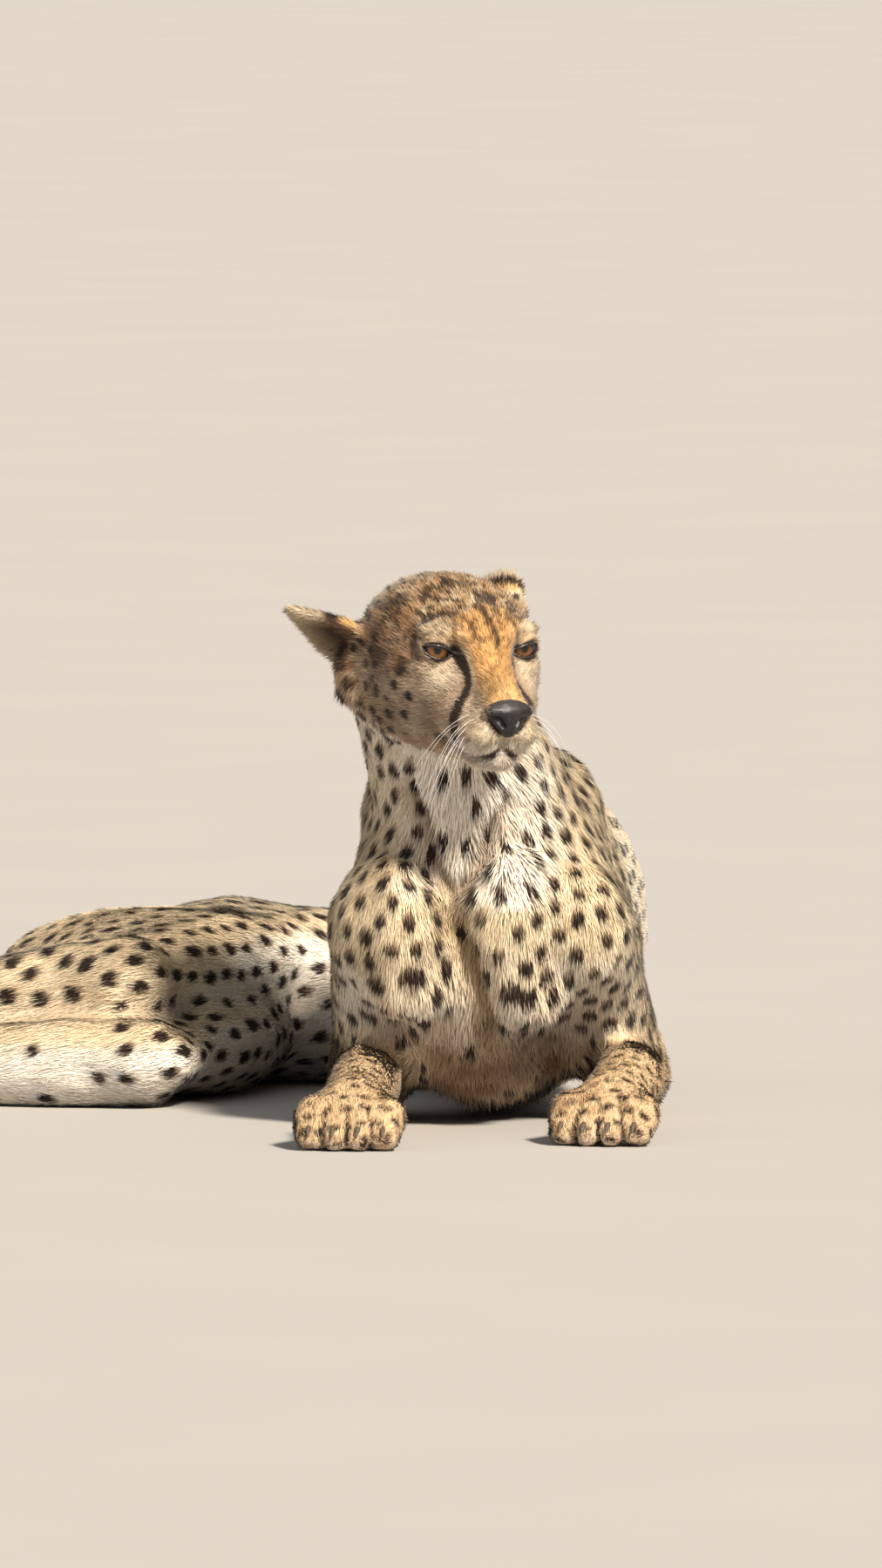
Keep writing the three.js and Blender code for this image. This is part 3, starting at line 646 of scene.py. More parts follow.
# %% Each spot's size and shape
# spots stretch along the coat's flow on the flanks, and across it, into bars, on the forelegs
home = np.array([TRIANGLES[skin_tree.find_nearest(Vector(place))[2]][0] for place in SPOT_AT])
SPOT_NORMAL, SPOT_FLOW = normals[home], unit(flow[home])
SPOT_RADIUS = SPOT_GAPS * RNG.uniform(0.26, 0.34, len(chosen))
SPOT_STRETCH = RNG.uniform(1.0, 1.35, len(chosen))
for kinds, least, most, grown in ((("thigh", "rump", "loin", "ribs"), 1.2, 1.65, 0.86),
                                  (("forearm", "forepaw"), 0.34, 0.58, 1.4)):
    there = of_kind(*kinds)[home] > 0
    SPOT_STRETCH[there] = RNG.uniform(least, most, there.sum())
    SPOT_RADIUS[there] *= grown
sparse = np.maximum.reduce((  # on long hair, on the throat and on the near side of the lower shank
    ease(long_coat[:, 0], 0.25, 0.7) * (0.4 + 0.6 * of_kind("chest")),
    0.5 * of_kind("neck") * ease(facing_camera, 0.2, 0.6) * ease(from_middle, 0.06, 0.03),
    0.85 * of_kind("shank_left") * ease(facing_camera, 0.0, 0.5)))[home]
SPOT_RADIUS = np.where(RNG.random(len(chosen)) < 0.9 * sparse, GONE, SPOT_RADIUS * (1 - 0.3 * sparse))

# %% Blotches
# a few great ones low on the fluffy inner sides of the upper arms: place across and up, and size
BLOTCH_MARGIN = 8  # mm round a blotch with no other spot
BLOTCH_STRETCH = 0.75
BLOTCHES = {
    "upper_arm_right": ((0.57, 0.24, 10), (0.34, 0.21, 8.5), (0.29, 0.08, 8.5), (0.54, 0.11, 7.5),
                        (0.43, 0.33, 6.5)),
    "upper_arm_left": ((0.26, 0.17, 8.5), (0.34, 0.155, 8), (0.46, 0.15, 6.5), (0.43, 0.22, 7),
                       (0.33, 0.25, 6.5), (0.20, 0.29, 6)),
}
blotches = []
for arm, marks in BLOTCHES.items():
    low, high = (np.array(v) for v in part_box(arm))
    for across, up_share, size in marks:
        start = low + (high - low) * (across, 0, up_share) - (0, 0.1, 0)
        place, _, face_hit, _ = skin_tree.ray_cast(Vector(start), Vector((0, 1, 0)))
        if place is not None:
            point = TRIANGLES[face_hit][0]
            blotches.append((np.array(place), normals[point], unit(flow[point]), size * MM))
clear = np.min([np.linalg.norm(SPOT_AT - b[0], axis=1) / (b[3] + BLOTCH_MARGIN * MM) for b in blotches],
               axis=0)
SPOT_RADIUS = np.concatenate((np.where(clear < 1, GONE, SPOT_RADIUS), [b[3] for b in blotches]))
SPOT_STRETCH = np.concatenate((SPOT_STRETCH, np.full(len(blotches), BLOTCH_STRETCH)))
SPOT_AT, SPOT_NORMAL, SPOT_FLOW = (np.vstack((old, [b[i] for b in blotches]))
                                   for i, old in enumerate((SPOT_AT, SPOT_NORMAL, SPOT_FLOW)))
print("spots:", len(chosen), "and", len(blotches), "blotches")

# %% [markdown]
# ## Colours of the coat
#
# The back is gold, the sides are straw and the throat, chest and belly are white. The same function
# colours the skin's points and every tuft, so the two always agree. The head has its own pattern: a
# gold forehead with dark flecks, pale brows and cheeks, and the black tear line from the inner corner
# of each eye to the mouth.

# %% Palette and soft noise
def paint(red, green, blue):
    """A colour as seen, from 0 to 255, as the light values that shading works with."""
    c = np.array((red, green, blue)) / 255
    return np.where(c <= 0.04045, c / 12.92, ((c + 0.055) / 1.055) ** 2.4)


GOLD, DEEP_GOLD, SAND = paint(218, 178, 120), paint(208, 152, 88), paint(226, 190, 140)
STRAW, TAWNY, LION = paint(238, 220, 186), paint(128, 94, 68), paint(184, 149, 106)
CREAM, WHITE, GREY_CREAM = paint(238, 222, 192), paint(247, 240, 228), paint(218, 200, 170)
SPOT, FLECK, UMBER = paint(42, 30, 24), paint(84, 60, 40), paint(138, 98, 60)
CHIN, CHEEK, CHEEK_LIGHT = paint(232, 224, 212), paint(156, 135, 112), paint(192, 172, 148)
# painted shade that darkens the folds and hollows
FOLD_SHADE = (0.46, 0.40, 0.34)


def noise(points, size, seed):
    """Smooth random numbers from -1 to 1, with swells of the given size in metres."""
    grid = points / size + 31.7 * seed + 500
    cell = np.floor(grid).astype(np.int64)
    part = grid - cell
    part = part * part * (3 - 2 * part)
    total = np.zeros(len(points))
    for corner in np.ndindex(2, 2, 2):
        mixed = ((cell + corner) * (73856093, 19349663, 83492791)).sum(axis=1)
        mixed = (mixed ^ (mixed >> 13)) * 1274126177 & 0xFFFFFF
        total += np.prod(np.where(corner, part, 1 - part), axis=1) * (mixed / 0x7FFFFF - 1)
    return total


def mix(base, *layers):
    """Lays colours over a base one after another, each by its own share."""
    for colour, share in zip(layers[::2], layers[1::2]):
        base = base + (colour - base) * np.clip(share, 0, 1)[:, None]
    return base


# %% Soft fields over the body
lying_up = normals[:, 2]
gold_field = (0.06 + 0.22 * ease(lying_up, 0.2, 0.9) + 0.25 * of_kind("forearm", "forepaw", "hind_foot")
              + 0.1 * of_kind("tail") + 0.2 * of_kind("neck") * ease(lying_up, -0.1, 0.6))
# the haunch's colour ends at a line that climbs from the knee towards the ribs; below it the belly,
# the shanks and the insides of the thighs are white
knee_low, knee_high = (np.array(v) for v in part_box("thigh_right"))
haunch_edge = knee_low[2] + 6 * MM + 0.56 * np.maximum(surface[:, 0] - (knee_low + knee_high)[0] / 2, 0)
belly_side = (of_kind("thigh", "shank", "ribs", "loin", "rump") * ease(facing_camera, -0.1, 0.4)
              * ease(haunch_edge - surface[:, 2], -6 * MM, 8 * MM) * (1 - ease(lying_up, 0.3, 0.8)))
white_field = (ease(-lying_up, 0.0, 0.7) * 0.9 * (1 - of_kind("chest")) + 0.25 * long_coat[:, 0]
               + 0.55 * of_kind("neck") * ease(facing_camera, 0.1, 0.7) * ease(from_middle, 0.09, 0.04)
               + 0.9 * belly_side)
# low on the front between the arms the coat turns tawny: partly the fur's own brown, partly painted shade
# under the chest
low_brown_and_painted_shade = (of_kind("chest", "upper_arm", "ribs") * ease(surface[:, 2], 0.115, 0.05)
         * ease(facing_camera, -0.2, 0.3) * ease(from_middle, 0.10, 0.05))
# the ear's front is the side of its thin plate that looks down and forward
ear_front, ear_tip = np.zeros((2, POINTS))
for name in ("ear_left", "ear_right"):
    mine = owner == FLESH.index(name)
    spot = surface[mine]
    axes = np.linalg.svd(spot - spot.mean(axis=0), full_matrices=False)[2]
    across = axes[2] * (-1 if axes[2][2] > 0 else 1)
    ear_front[mine] = ease(normals[mine] @ across, -0.25, 0.35)
    distance = np.linalg.norm(spot - np.array(HEAD_AT), axis=1)
    ear_tip[mine] = ease(distance, distance.min(), distance.max())
FIELDS = np.column_stack((
    spread(gold_field, 10), spread(white_field, 10), spread(on_head[:, 0], 3),
    spread(of_kind("ear"), 1), ear_front, ear_tip, spread(of_kind("forearm", "forepaw", "hind_foot"), 4),
    spread(of_kind("tail"), 4), fold, spread(low_brown_and_painted_shade, 10),
))
print("fields:", FIELDS.shape)

# %% The face's pattern
TEAR_LINE = np.array([(25, 12.5, 2), (21, 16, -1), (19.5, 22, -6.5), (18.8, 27.6, -12.5), (19.5, 32, -18.5),
                      (22.7, 35, -25.3), (27, 36, -31.2), (30, 37, -37.2), (31, 37, -43.3), (30.4, 38, -48),
                      (29, 36, -57)], float)
TEAR_HALF_WIDTH = (4.2, 4.8, 4.0, 3.0, 2.9, 3.1, 3.5, 4.0, 4.4, 4.6, 4.6)
CREASE = np.array([(22, 11, 21), (23.6, 15, 13), (20.5, 17, 4)], float)
FOREHEAD_LINE = np.array([(-3, -12, 35), (-0.5, 14, 25), (-4, 26, 12), (-3, 29, 8)], float)
JAW_SPOTS = np.array([(57, -14, -28), (54, -9.5, -16.5), (59, -39, -35), (53, -28, -52), (48, -12, -49),
                      (55, -40, -60), (49, -31, -65), (58, -27, -41), (50, -2, -34)], float)


def speckle(q, size, seed, low, high):
    return ease(noise(q * MM, size * MM, seed), low, high)


def face_colour(q, p):
    f = folded(q)
    side, forward, height = f.T

    def patch(middle, reach, full, none):
        """1 at a place on the face and 0 away from it, by the distance in terms of its reach."""
        return 1 - ease(np.linalg.norm((f - middle) / reach, axis=1), full, none)

    muzzle = ease(forward, 33, 44) * ease(-height, 26, 38)
    crown = ease(height, 2, 16)
    bridge = 1 - ease(side, 11, 17)
    nose_bridge = bridge * ease(forward, 5, 20)
    temple = ease(-forward, -8, 8) * ease(side, 34, 44) * ease(height, -30, -12)
    rough = crown * ease(-forward, -18, 4)
    brow = patch((36, 8, 15), (11, 10, 6.5), 0.6, 1.3)
    flecks = (speckle(q, 2.4, 5, 0.05, 0.45) * (0.55 * crown + 0.2 * bridge + 0.5 * temple + 0.38)
              * (1 - 0.5 * brow) * (1 - 0.4 * ease(-height, 50, 66)))
    frown, lips, crease = (line_distance(points, line)[0]
                           for points, line in ((q, FOREHEAD_LINE), (f, MOUTH), (f, CREASE)))
    return mix(
        CHEEK, CHEEK_LIGHT, ease(noise(p, 0.012, 3), -0.6, 0.8),
        mix(GOLD, CREAM, 0.25 + 0.35 * noise(p, 0.009, 17)), crown,
        UMBER, crown * ease(-forward, -16, 12) * (0.55 + 0.3 * noise(p, 0.014, 71)),
        DEEP_GOLD, crown * ease(forward, -14, 8) * (1 - ease(side, 15, 26)) * 0.75,
        UMBER, temple * (0.6 + 0.35 * noise(p, 0.008, 75)),
        GOLD, nose_bridge * (1 - muzzle),
        DEEP_GOLD, nose_bridge * ease(-height, 22, 4) * 0.55 * (1 - muzzle),
        UMBER, nose_bridge * (0.22 + 0.3 * noise(p, 0.008, 73)),
        UMBER * 0.7, patch((15, 17, 6), (7, 9, 9), 0.4, 1) * 0.6,
        CHEEK_LIGHT, muzzle * 0.9,
        CREAM * 0.8, patch((12, 58, -50), (13, 14, 9), 0.6, 1.2) * 0.8,
        CHIN, ease(forward, 20, 40) * ease(-height, 50, 60) * 0.8,
        CREAM * 0.62, brow * 0.8,
        CREAM * 0.75, patch((34, 18, -14), (12, 16, 12), 0.5, 1.3) * 0.7,
        FLECK, flecks * 0.8,
        STRAW * 0.9, rough * speckle(q, 5.5, 13, 0.1, 0.5) * 0.6,
        FLECK * 0.6, rough * speckle(q, 4.6, 9, 0.12, 0.35),
        FLECK * 0.7, np.maximum(rough, temple) * speckle(q, 8.0, 19, 0.1, 0.4) * 0.8,
        SPOT, (1 - ease(frown, 1.2, 3.4)) * ease(noise(q * MM, 0.006, 11), -0.8, -0.3) * 0.8,
        FLECK, 0.5 * (1 - ease(lips, 2.5, 6.5)),
        FLECK, (1 - ease(crease, 1.0, 3.4)) * 0.75)


def face_black(q):
    """The tear lines, lid edges, lips and jaw spots, from 0 to 1."""
    f = folded(q)
    tear_gap, along = line_distance(f, TEAR_LINE)
    half = np.interp(along, np.linspace(0, 1, len(TEAR_HALF_WIDTH)), TEAR_HALF_WIDTH)
    black = 1 - ease(tear_gap / half, 0.8, 1.25)
    out, up = eye_angles(q)
    close = np.linalg.norm(f - EYE, axis=1) < 22
    rim = (1 - ease(almond(out, up), 1.3, 1.65)) * close * (f[:, 1] > -4)
    lips, cleft = (line_distance(f, line)[0] for line in (MOUTH, PHILTRUM))
    nose_bed = 1 - ease(np.linalg.norm((q - NOSE_TIP) / NOSE_REACH, axis=1), 0.85, 0.95)
    jaw = np.min([np.linalg.norm(f - spot, axis=1) for spot in JAW_SPOTS], axis=0)
    return np.maximum.reduce((black, rim, nose_bed, 1 - ease(lips, 1.7, 3.2), 1 - ease(cleft, 1.1, 2.3),
                              1 - ease(jaw / 4.3, 0.75, 1.2)))


# %% Colour at any place
spot_tree = KDTree(len(SPOT_AT))
for i, place in enumerate(SPOT_AT):
    spot_tree.insert(Vector(place), i)
spot_tree.balance()
TAIL_END = surface[np.argmax(np.where(of_kind("tail_tip") > 0, -surface[:, 0], -9))]
# mm from the tail's end to a ring's two edges, and 1 for a black ring
TAIL_RINGS = ((0, 22, 0), (22, 58, 1), (58, 72, 0), (72, 104, 1), (104, 118, 0), (118, 142, 1))
RING_EDGE = 3
# near-black painted shade in the gaps between the toes
TOE_GAP_PAINTED_SHADE = 0.9
SPOTS_LOOKED_AT = 4
FACE_REACH = 150  # mm from between the eyes


def spotted(p, n):
    """How black the strewn spots make each place, from 0 to 1."""
    near = np.array([[hit[1] for hit in spot_tree.find_n(Vector(x), SPOTS_LOOKED_AT)] for x in p])
    ragged = 1 + 0.16 * noise(p, 0.004, 21)
    black = np.zeros(len(p))
    for column in near.T:
        arm = p - SPOT_AT[column]
        along = (arm * SPOT_FLOW[column]).sum(axis=1)
        across = np.sqrt(np.maximum((arm ** 2).sum(axis=1) - along ** 2, 0))
        gap = np.hypot(along / SPOT_STRETCH[column], across) / (SPOT_RADIUS[column] * ragged)
        same_side = (n * SPOT_NORMAL[column]).sum(axis=1) > 0
        black = np.maximum(black, (1 - ease(gap, 0.82, 1.12)) * same_side)
    return black


def coat_colour(p, n, fields):
    """The coat's colour at places p with normals n."""
    gold, white, head, ear, ear_face, ear_end, foot, tail, folds, brown_and_painted_shade = fields.T
    q = to_head(p)
    # behind the jaw and under the ear the coat turns umber: partly the fur's own dark mottling, partly
    # painted shade
    behind_jaw = np.linalg.norm((folded(q) - (52, -62, -28)) / (32, 36, 44), axis=1)
    colour = mix(
        STRAW, SAND, gold + 0.15 * noise(p, 0.03, 1),
        WHITE, white + 0.12 * noise(p, 0.02, 2),
        # tawny low on the front: the fur's own brown and painted shade
        TAWNY, 0.85 * brown_and_painted_shade + 0.3 * brown_and_painted_shade * noise(p, 0.015, 51),
        UMBER, 0.25 * ease(noise(p, 0.007, 61), 0.3, 0.65) * (1 - np.clip(white, 0, 1)),
        LION, 0.5 * foot,
        UMBER, 0.5 * foot * ease(noise(p, 0.005, 91), 0.0, 0.6),
        # umber behind the jaw: dark mottling and painted shade
        UMBER, 0.8 * (1 - ease(behind_jaw, 0.6, 1.25)) * (0.8 + 0.4 * noise(p, 0.006, 81)))
    face = (head + ear > 0.02) & (np.linalg.norm(q, axis=1) < FACE_REACH)
    on_face = head * face
    black = spotted(p, n) * (1 - ear) * (1 - on_face * np.maximum(
        ease(q[:, 1], -46, -30), ease(q[:, 2], -8, 8) * ease(q[:, 1], -75, -55)))
    face_paint = np.zeros((len(p), 3))
    face_paint[face] = face_colour(q[face], p[face])
    black[face] = np.maximum(black[face], face_black(q[face]) * head[face])
    ear_back = mix(GOLD, SPOT, ease(ear_end, 0.12, 0.25) * (1 - ease(ear_end, 0.42, 0.56)),
                   GREY_CREAM * 0.75, ease(ear_end, 0.42, 0.56))
    ear_inner = mix(FLECK * 0.8, GREY_CREAM * 0.9, ease(ear_end, 0.3, 0.95))
    colour = mix(colour, face_paint, on_face * ease(q[:, 1], -85, -45),
                 mix(ear_back, ear_inner, ear_face), ear)

    from_end = np.linalg.norm(p - TAIL_END, axis=1) / MM
    for low, high, dark in TAIL_RINGS:
        ring = (ease(from_end, low - RING_EDGE, low + RING_EDGE)
                - ease(from_end, high - RING_EDGE, high + RING_EDGE)) * tail
        black = black * (1 - ring) + dark * ring
        colour = mix(colour, WHITE, ring * 0.8)
    # painted shade between the toes
    black = np.maximum(black, TOE_GAP_PAINTED_SHADE * toe_gap(p) * (foot > 0.5))
    # painted shade in the folds and hollows
    colour = mix(colour, colour * FOLD_SHADE, folds)
    return colour, black


skin_colour, skin_black = coat_colour(surface, normals, FIELDS)
print("share of the skin that is black:", round(float(skin_black.mean()), 3))

# %% [markdown]
# ## The skin's unwrap
#
# Skin and coat get a place on a flat map, so that their colours can be baked into pictures. The
# skin is cut where its faces turn sharply and laid out flat, and each tuft later takes a small patch
# where its root is on that map.

# %% Unwrap
SEAM_ANGLE, ISLAND_MARGIN = math.radians(70), 0.002
skin.data.uv_layers.new(name="OFBake")
bpy.context.view_layer.objects.active = skin
skin.select_set(True)
bpy.ops.object.mode_set(mode="EDIT")
bpy.ops.mesh.select_all(action="SELECT")
bpy.ops.uv.smart_project(angle_limit=SEAM_ANGLE, island_margin=ISLAND_MARGIN)
bpy.ops.object.mode_set(mode="OBJECT")
unwrapped = read(skin.data.uv_layers["OFBake"].data, "uv", 2)
TRIANGLES = mesh_triangles(skin.data)
CORNER_UV = unwrapped[read(skin.data.loop_triangles, "loops", 3, np.int32)]
print("unwrapped", len(TRIANGLES), "triangles")

# %% [markdown]
# ## One tuft, and how it is strewn
#
# A short tuft is the smallest closed spike there is: a three-sided cone of four triangles. A long one
# has a ring halfway up, so that it can bend. Both are made once, upright and one unit long. Copies are
# then laid on the skin as arrays of numbers, because hundreds of thousands of tufts made one by one
# would take hours. Each leans along the flow, lifts off the skin a little and bends back to it.

# %% Tuft shapes
RING_SPREAD = 1.45  # a ring's size against the plain cone's


def tuft_shape(bends):
    """A unit spike along z, with a ring of points at each of the given heights."""
    spike = bmesh.new()
    bmesh.ops.create_cone(spike, cap_ends=True, segments=3, radius1=0.5, radius2=0, depth=1)
    bmesh.ops.translate(spike, verts=spike.verts, vec=(0, 0, 0.5))
    for height in bends:
        bmesh.ops.bisect_plane(spike, geom=spike.verts[:] + spike.edges[:] + spike.faces[:],
                               plane_co=(0, 0, height), plane_no=(0, 0, 1))
    for v in spike.verts:
        if 0 < v.co.z < 0.99:
            v.co.x *= RING_SPREAD
            v.co.y *= RING_SPREAD
    bmesh.ops.triangulate(spike, faces=spike.faces)
    spike.normal_update()
    spike.verts.index_update()
    points = np.array([v.co for v in spike.verts]) * (-1, -1, 1)  # turned so that a flat side lies up
    faces = np.array([[v.index for v in f.verts] for f in spike.faces])
    spike.free()
    return points, faces


SHORT_TUFT, LONG_TUFT = tuft_shape(()), tuft_shape((0.45,))
print("triangles:", len(SHORT_TUFT[1]), "in a short tuft,", len(LONG_TUFT[1]), "in a long one")


# %% Laying tufts
def mesh_of(name, points, faces, uv, colour, shading, strand):
    """A joined mesh from arrays, with its bake map, and its colour, normal and strand at every point."""
    mesh = bpy.data.meshes.new(name)
    mesh.vertices.add(len(points))
    mesh.vertices.foreach_set("co", points.astype(np.float32).ravel())
    mesh.loops.add(faces.size)
    mesh.loops.foreach_set("vertex_index", faces.astype(np.int32).ravel())
    mesh.polygons.add(len(faces))
    mesh.polygons.foreach_set("loop_start", np.arange(0, faces.size, 3, dtype=np.int32))
    shade_smooth(mesh)
    mesh.update(calc_edges=True)
    mesh.uv_layers.new(name="OFBake").data.foreach_set("uv", uv[faces.ravel()].astype(np.float32).ravel())
    keep_on_points(mesh, "coat", opaque(colour))
    keep_on_points(mesh, "strand", strand)
    mesh.normals_split_custom_set_from_vertices(shading.astype(np.float32))
    return mesh


PATCH = 0.003  # a tuft's width and height on the bake map
BEND = 0.5 * 0.45  # how much of its rise a tuft has lost at its tip
LYING = 0.4 * MM  # how deep the tufts' roots lie in the skin
FLATTENED = 0.45  # a tuft's thickness as a share of its width
# painted shade: the skin seen between the tufts is kept darker than them
SKIN_SHADE = 0.92  # the skin is a little darker than the tufts on it
# the tips stay off the floor and inside the solids' box
LOWEST, HIGHEST = np.array(CAD_BOX[0]) + (0, 0, 0.5 * MM), np.array(CAD_BOX[1])
# each tuft is darker at the root and paler at the tip: partly the hair's own pale tips, partly painted shade
# deep in the coat
ROOT_SHADE, TIP_SHADE = np.array((0.66, 0.58, 0.50)), np.array((1.12, 1.11, 1.08))


def lay_tufts(name, shape, where, weights):
    """Copies of one tuft on the skin at the strewn places, as one piece."""
    template, faces = shape
    count = len(where)
    root = at(surface, where, weights)
    normal = unit(at(normals, where, weights))
    lie = flat_on(at(flow, where, weights), normal)
    coat = at(traits, where, weights)
    length = coat[:, LENGTH] * MM * RNG.uniform(0.72, 1.25, count)
    width = coat[:, WIDTH] * MM * RNG.uniform(0.75, 1.2, count)
    lift = np.radians(coat[:, LIFT]) * RNG.uniform(0.55, 1.4, count)
    stands = RNG.random(count) < 0.14 * (coat[:, LIFT] > 20)
    lift[stands] *= 1.7
    length[stands] *= 1.15
    side = np.cross(normal, lie)
    messy = 0.6 + 0.7 * ease(coat[:, LIFT], 18, 24)
    stray = messy * (0.25 * noise(root, 0.012, 31) + RNG.normal(0, 0.14, count))
    lie = unit(lie + side * stray[:, None])
    side = np.cross(normal, lie)
    fields = at(FIELDS, where, weights)
    colour, low_black = coat_colour(root + lie * (0.15 * length)[:, None], normal, fields)
    _, high_black = coat_colour(root + lie * (0.72 * length)[:, None], normal, fields)
    up = template[:, 2]
    black = low_black[:, None] + (high_black - low_black)[:, None] * up
    dark = np.clip((black - RNG.uniform(0.16, 0.42, (count, 1))) / 0.25 + 0.5, 0, 1)[..., None]
    lively = 0.10 + 0.10 * at(on_head, where, weights)[:, 0] + 0.10 * fields[:, 6]
    tone = 1 + lively * RNG.normal(0, 1, count) + 0.09 * noise(root, 0.008, 41)
    pale, ink = (colour * tone[:, None])[:, None], (SPOT * RNG.uniform(0.8, 1.7, count)[:, None])[:, None]
    shade = ROOT_SHADE + (TIP_SHADE - ROOT_SHADE) * (up ** 0.7)[:, None]
    colours = np.clip((pale + (ink - pale) * dark) * shade, 0, 1)
    patch = np.column_stack((template[:, 0], up - 0.5)) * PATCH
    place = (CORNER_UV[where] * weights[..., None]).sum(axis=1)
    uv = np.clip(place[:, None] + patch, 0, 1)

    # from here on, each tuft's numbers get an axis for the tuft's points
    length, width, lift = length[:, None], width[:, None], lift[:, None]
    root, normal, lie, side = root[:, None], normal[:, None], lie[:, None], side[:, None]
    rise = np.sin(lift) * up * (1 - BEND * up)
    run = np.cos(lift) * up
    points = (root - normal * LYING + side * (template[:, 0] * width)[..., None]
              + normal * (rise * length + template[:, 1] * FLATTENED * width)[..., None]
              + lie * (run * length)[..., None])
    # a tuft is a bundle of hairs, so it shades mostly like the body under it, not like a spike
    round_way = side * template[:, 0, None] + normal * template[:, 1, None]
    shading = unit(normal + 0.8 * round_way + 0.3 * lie * up[:, None])
    strand = np.stack(np.broadcast_arrays(template[:, 0] * width / MM + RNG.uniform(0, 400, (count, 1)),
                                          up * length / MM, 0), axis=2)
    all_faces = (faces[None] + np.arange(count)[:, None, None] * len(template)).reshape(-1, 3)
    piece = new_object(name, mesh_of(name, np.clip(points, LOWEST, HIGHEST).reshape(-1, 3), all_faces,
                                     uv.reshape(-1, 2), colours.reshape(-1, 3), shading.reshape(-1, 3),
                                     strand.reshape(-1, 3)))
    print(name, count, "tufts,", len(all_faces), "triangles")
    return piece


# %% [markdown]
# ## Shader maths as expressions
#
# A material is a net of nodes, and written out link by link it is hard to read. A small class wraps
# a socket so that + - * and ** add the Math node they mean, and one method adds any other node.

# %% Wires and finishes
class Wire:
    """A number coming out of a node."""

    def __init__(self, finish, socket):
        self.finish, self.socket = finish, socket

    def math(self, operation, *terms):
        return self.finish.node("ShaderNodeMath", {"operation": operation}, dict(enumerate(terms)))

    def __add__(self, other):
        return self.math("ADD", self, other)

    def __sub__(self, other):
        return self.math("SUBTRACT", self, other)

    def __rsub__(self, other):
        return self.math("SUBTRACT", other, self)

    def __mul__(self, other):
        return self.math("MULTIPLY", self, other)

    def __pow__(self, other):
        return self.math("POWER", self, other)

    __radd__, __rmul__ = __add__, __mul__


class Finish:
    """A material with one Principled shader, and the nodes that feed it."""

    def __init__(self, name, **settings):
        self.material = bpy.data.materials.new(name)
        self.material.use_nodes = True
        self.tree = self.material.node_tree
        self.shader = self.tree.nodes["Principled BSDF"]
        for socket, value in settings.items():
            self.shader.inputs[socket.replace("_", " ")].default_value = value

    def feed(self, socket, value):
        if isinstance(value, Wire):
            self.tree.links.new(value.socket, socket)
        else:
            socket.default_value = value

    def node(self, kind, settings, sockets, out=0):
        """Adds a node: its settings first, then its sockets' values or links; gives one output."""
        made = self.tree.nodes.new(kind)
        for key, value in settings.items():
            if key == "ramp":
                stops = made.color_ramp.elements
                for _ in value[len(stops):]:
                    stops.new(0.5)
                for stop, (place, colour) in zip(stops, value):
                    stop.position, stop.color = place, (*colour, 1)
            else:
                setattr(made, key, value)
        for key, value in sockets.items():
            self.feed(made.inputs[key], value)
        return Wire(self, made.outputs[out])

    def attribute(self, name, out):
        return self.node("ShaderNodeAttribute", {"attribute_name": name}, {}, out)

    def noise(self, scale, detail=3, place=None):
        place = place or self.node("ShaderNodeTexCoord", {}, {}, "Object")
        return self.node("ShaderNodeTexNoise", {}, {"Vector": place, "Scale": scale, "Detail": detail})

    def blend(self, share, first, second, kind="MIX"):
        """Two colours mixed by a share."""
        first, second = ((*c, 1) if isinstance(c, tuple) else c for c in (first, second))
        return self.node("ShaderNodeMix", {"data_type": "RGBA", "blend_type": kind},
                         {0: share, 6: first, 7: second}, 2)

    def set(self, socket, value):
        self.feed(self.shader.inputs[socket], value)

    def bump(self, height, strength, distance):
        sockets = {"Strength": strength, "Distance": distance, "Height": height}
        self.set("Normal", self.node("ShaderNodeBump", {}, sockets))


def fur_finish():
    finish = Finish("fur", Roughness=0.7, Specular_IOR_Level=0.2, Sheen_Weight=0.1, Sheen_Roughness=0.5)
    along = finish.node("ShaderNodeMapping", {}, {"Vector": finish.attribute("strand", "Vector"),
                                                  "Scale": (4.0, 0.12, 1)})
    hairs = finish.blend(finish.noise(1.0, 2, along), (0.35, 0.32, 0.30), (1.45, 1.45, 1.45))
    finish.set("Base Color", finish.blend(0.6, finish.attribute("coat", "Color"), hairs, "MULTIPLY"))
    return finish.material


def skin_finish():
    finish = Finish("skin under the coat", Roughness=0.75, Specular_IOR_Level=0.2)
    hairs = finish.noise(700, 4)
    shades = finish.blend(hairs, (0.6, 0.56, 0.52), (1.0, 1.0, 1.0))
    finish.set("Base Color", finish.blend(0.5, finish.attribute("coat", "Color"), shades, "MULTIPLY"))
    finish.bump(hairs, 0.6, 0.0015)
    return finish.material


FUR, SKIN = fur_finish(), skin_finish()

# %% Colour the skin and hide the solids
keep_on_points(skin.data, "coat", opaque(mix(skin_colour, SPOT, skin_black) * SKIN_SHADE))
shade_smooth(skin.data)
skin.data.materials.append(SKIN)
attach(skin, "root")
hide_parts(*FLESH)
print("skin:", len(TRIANGLES), "triangles")

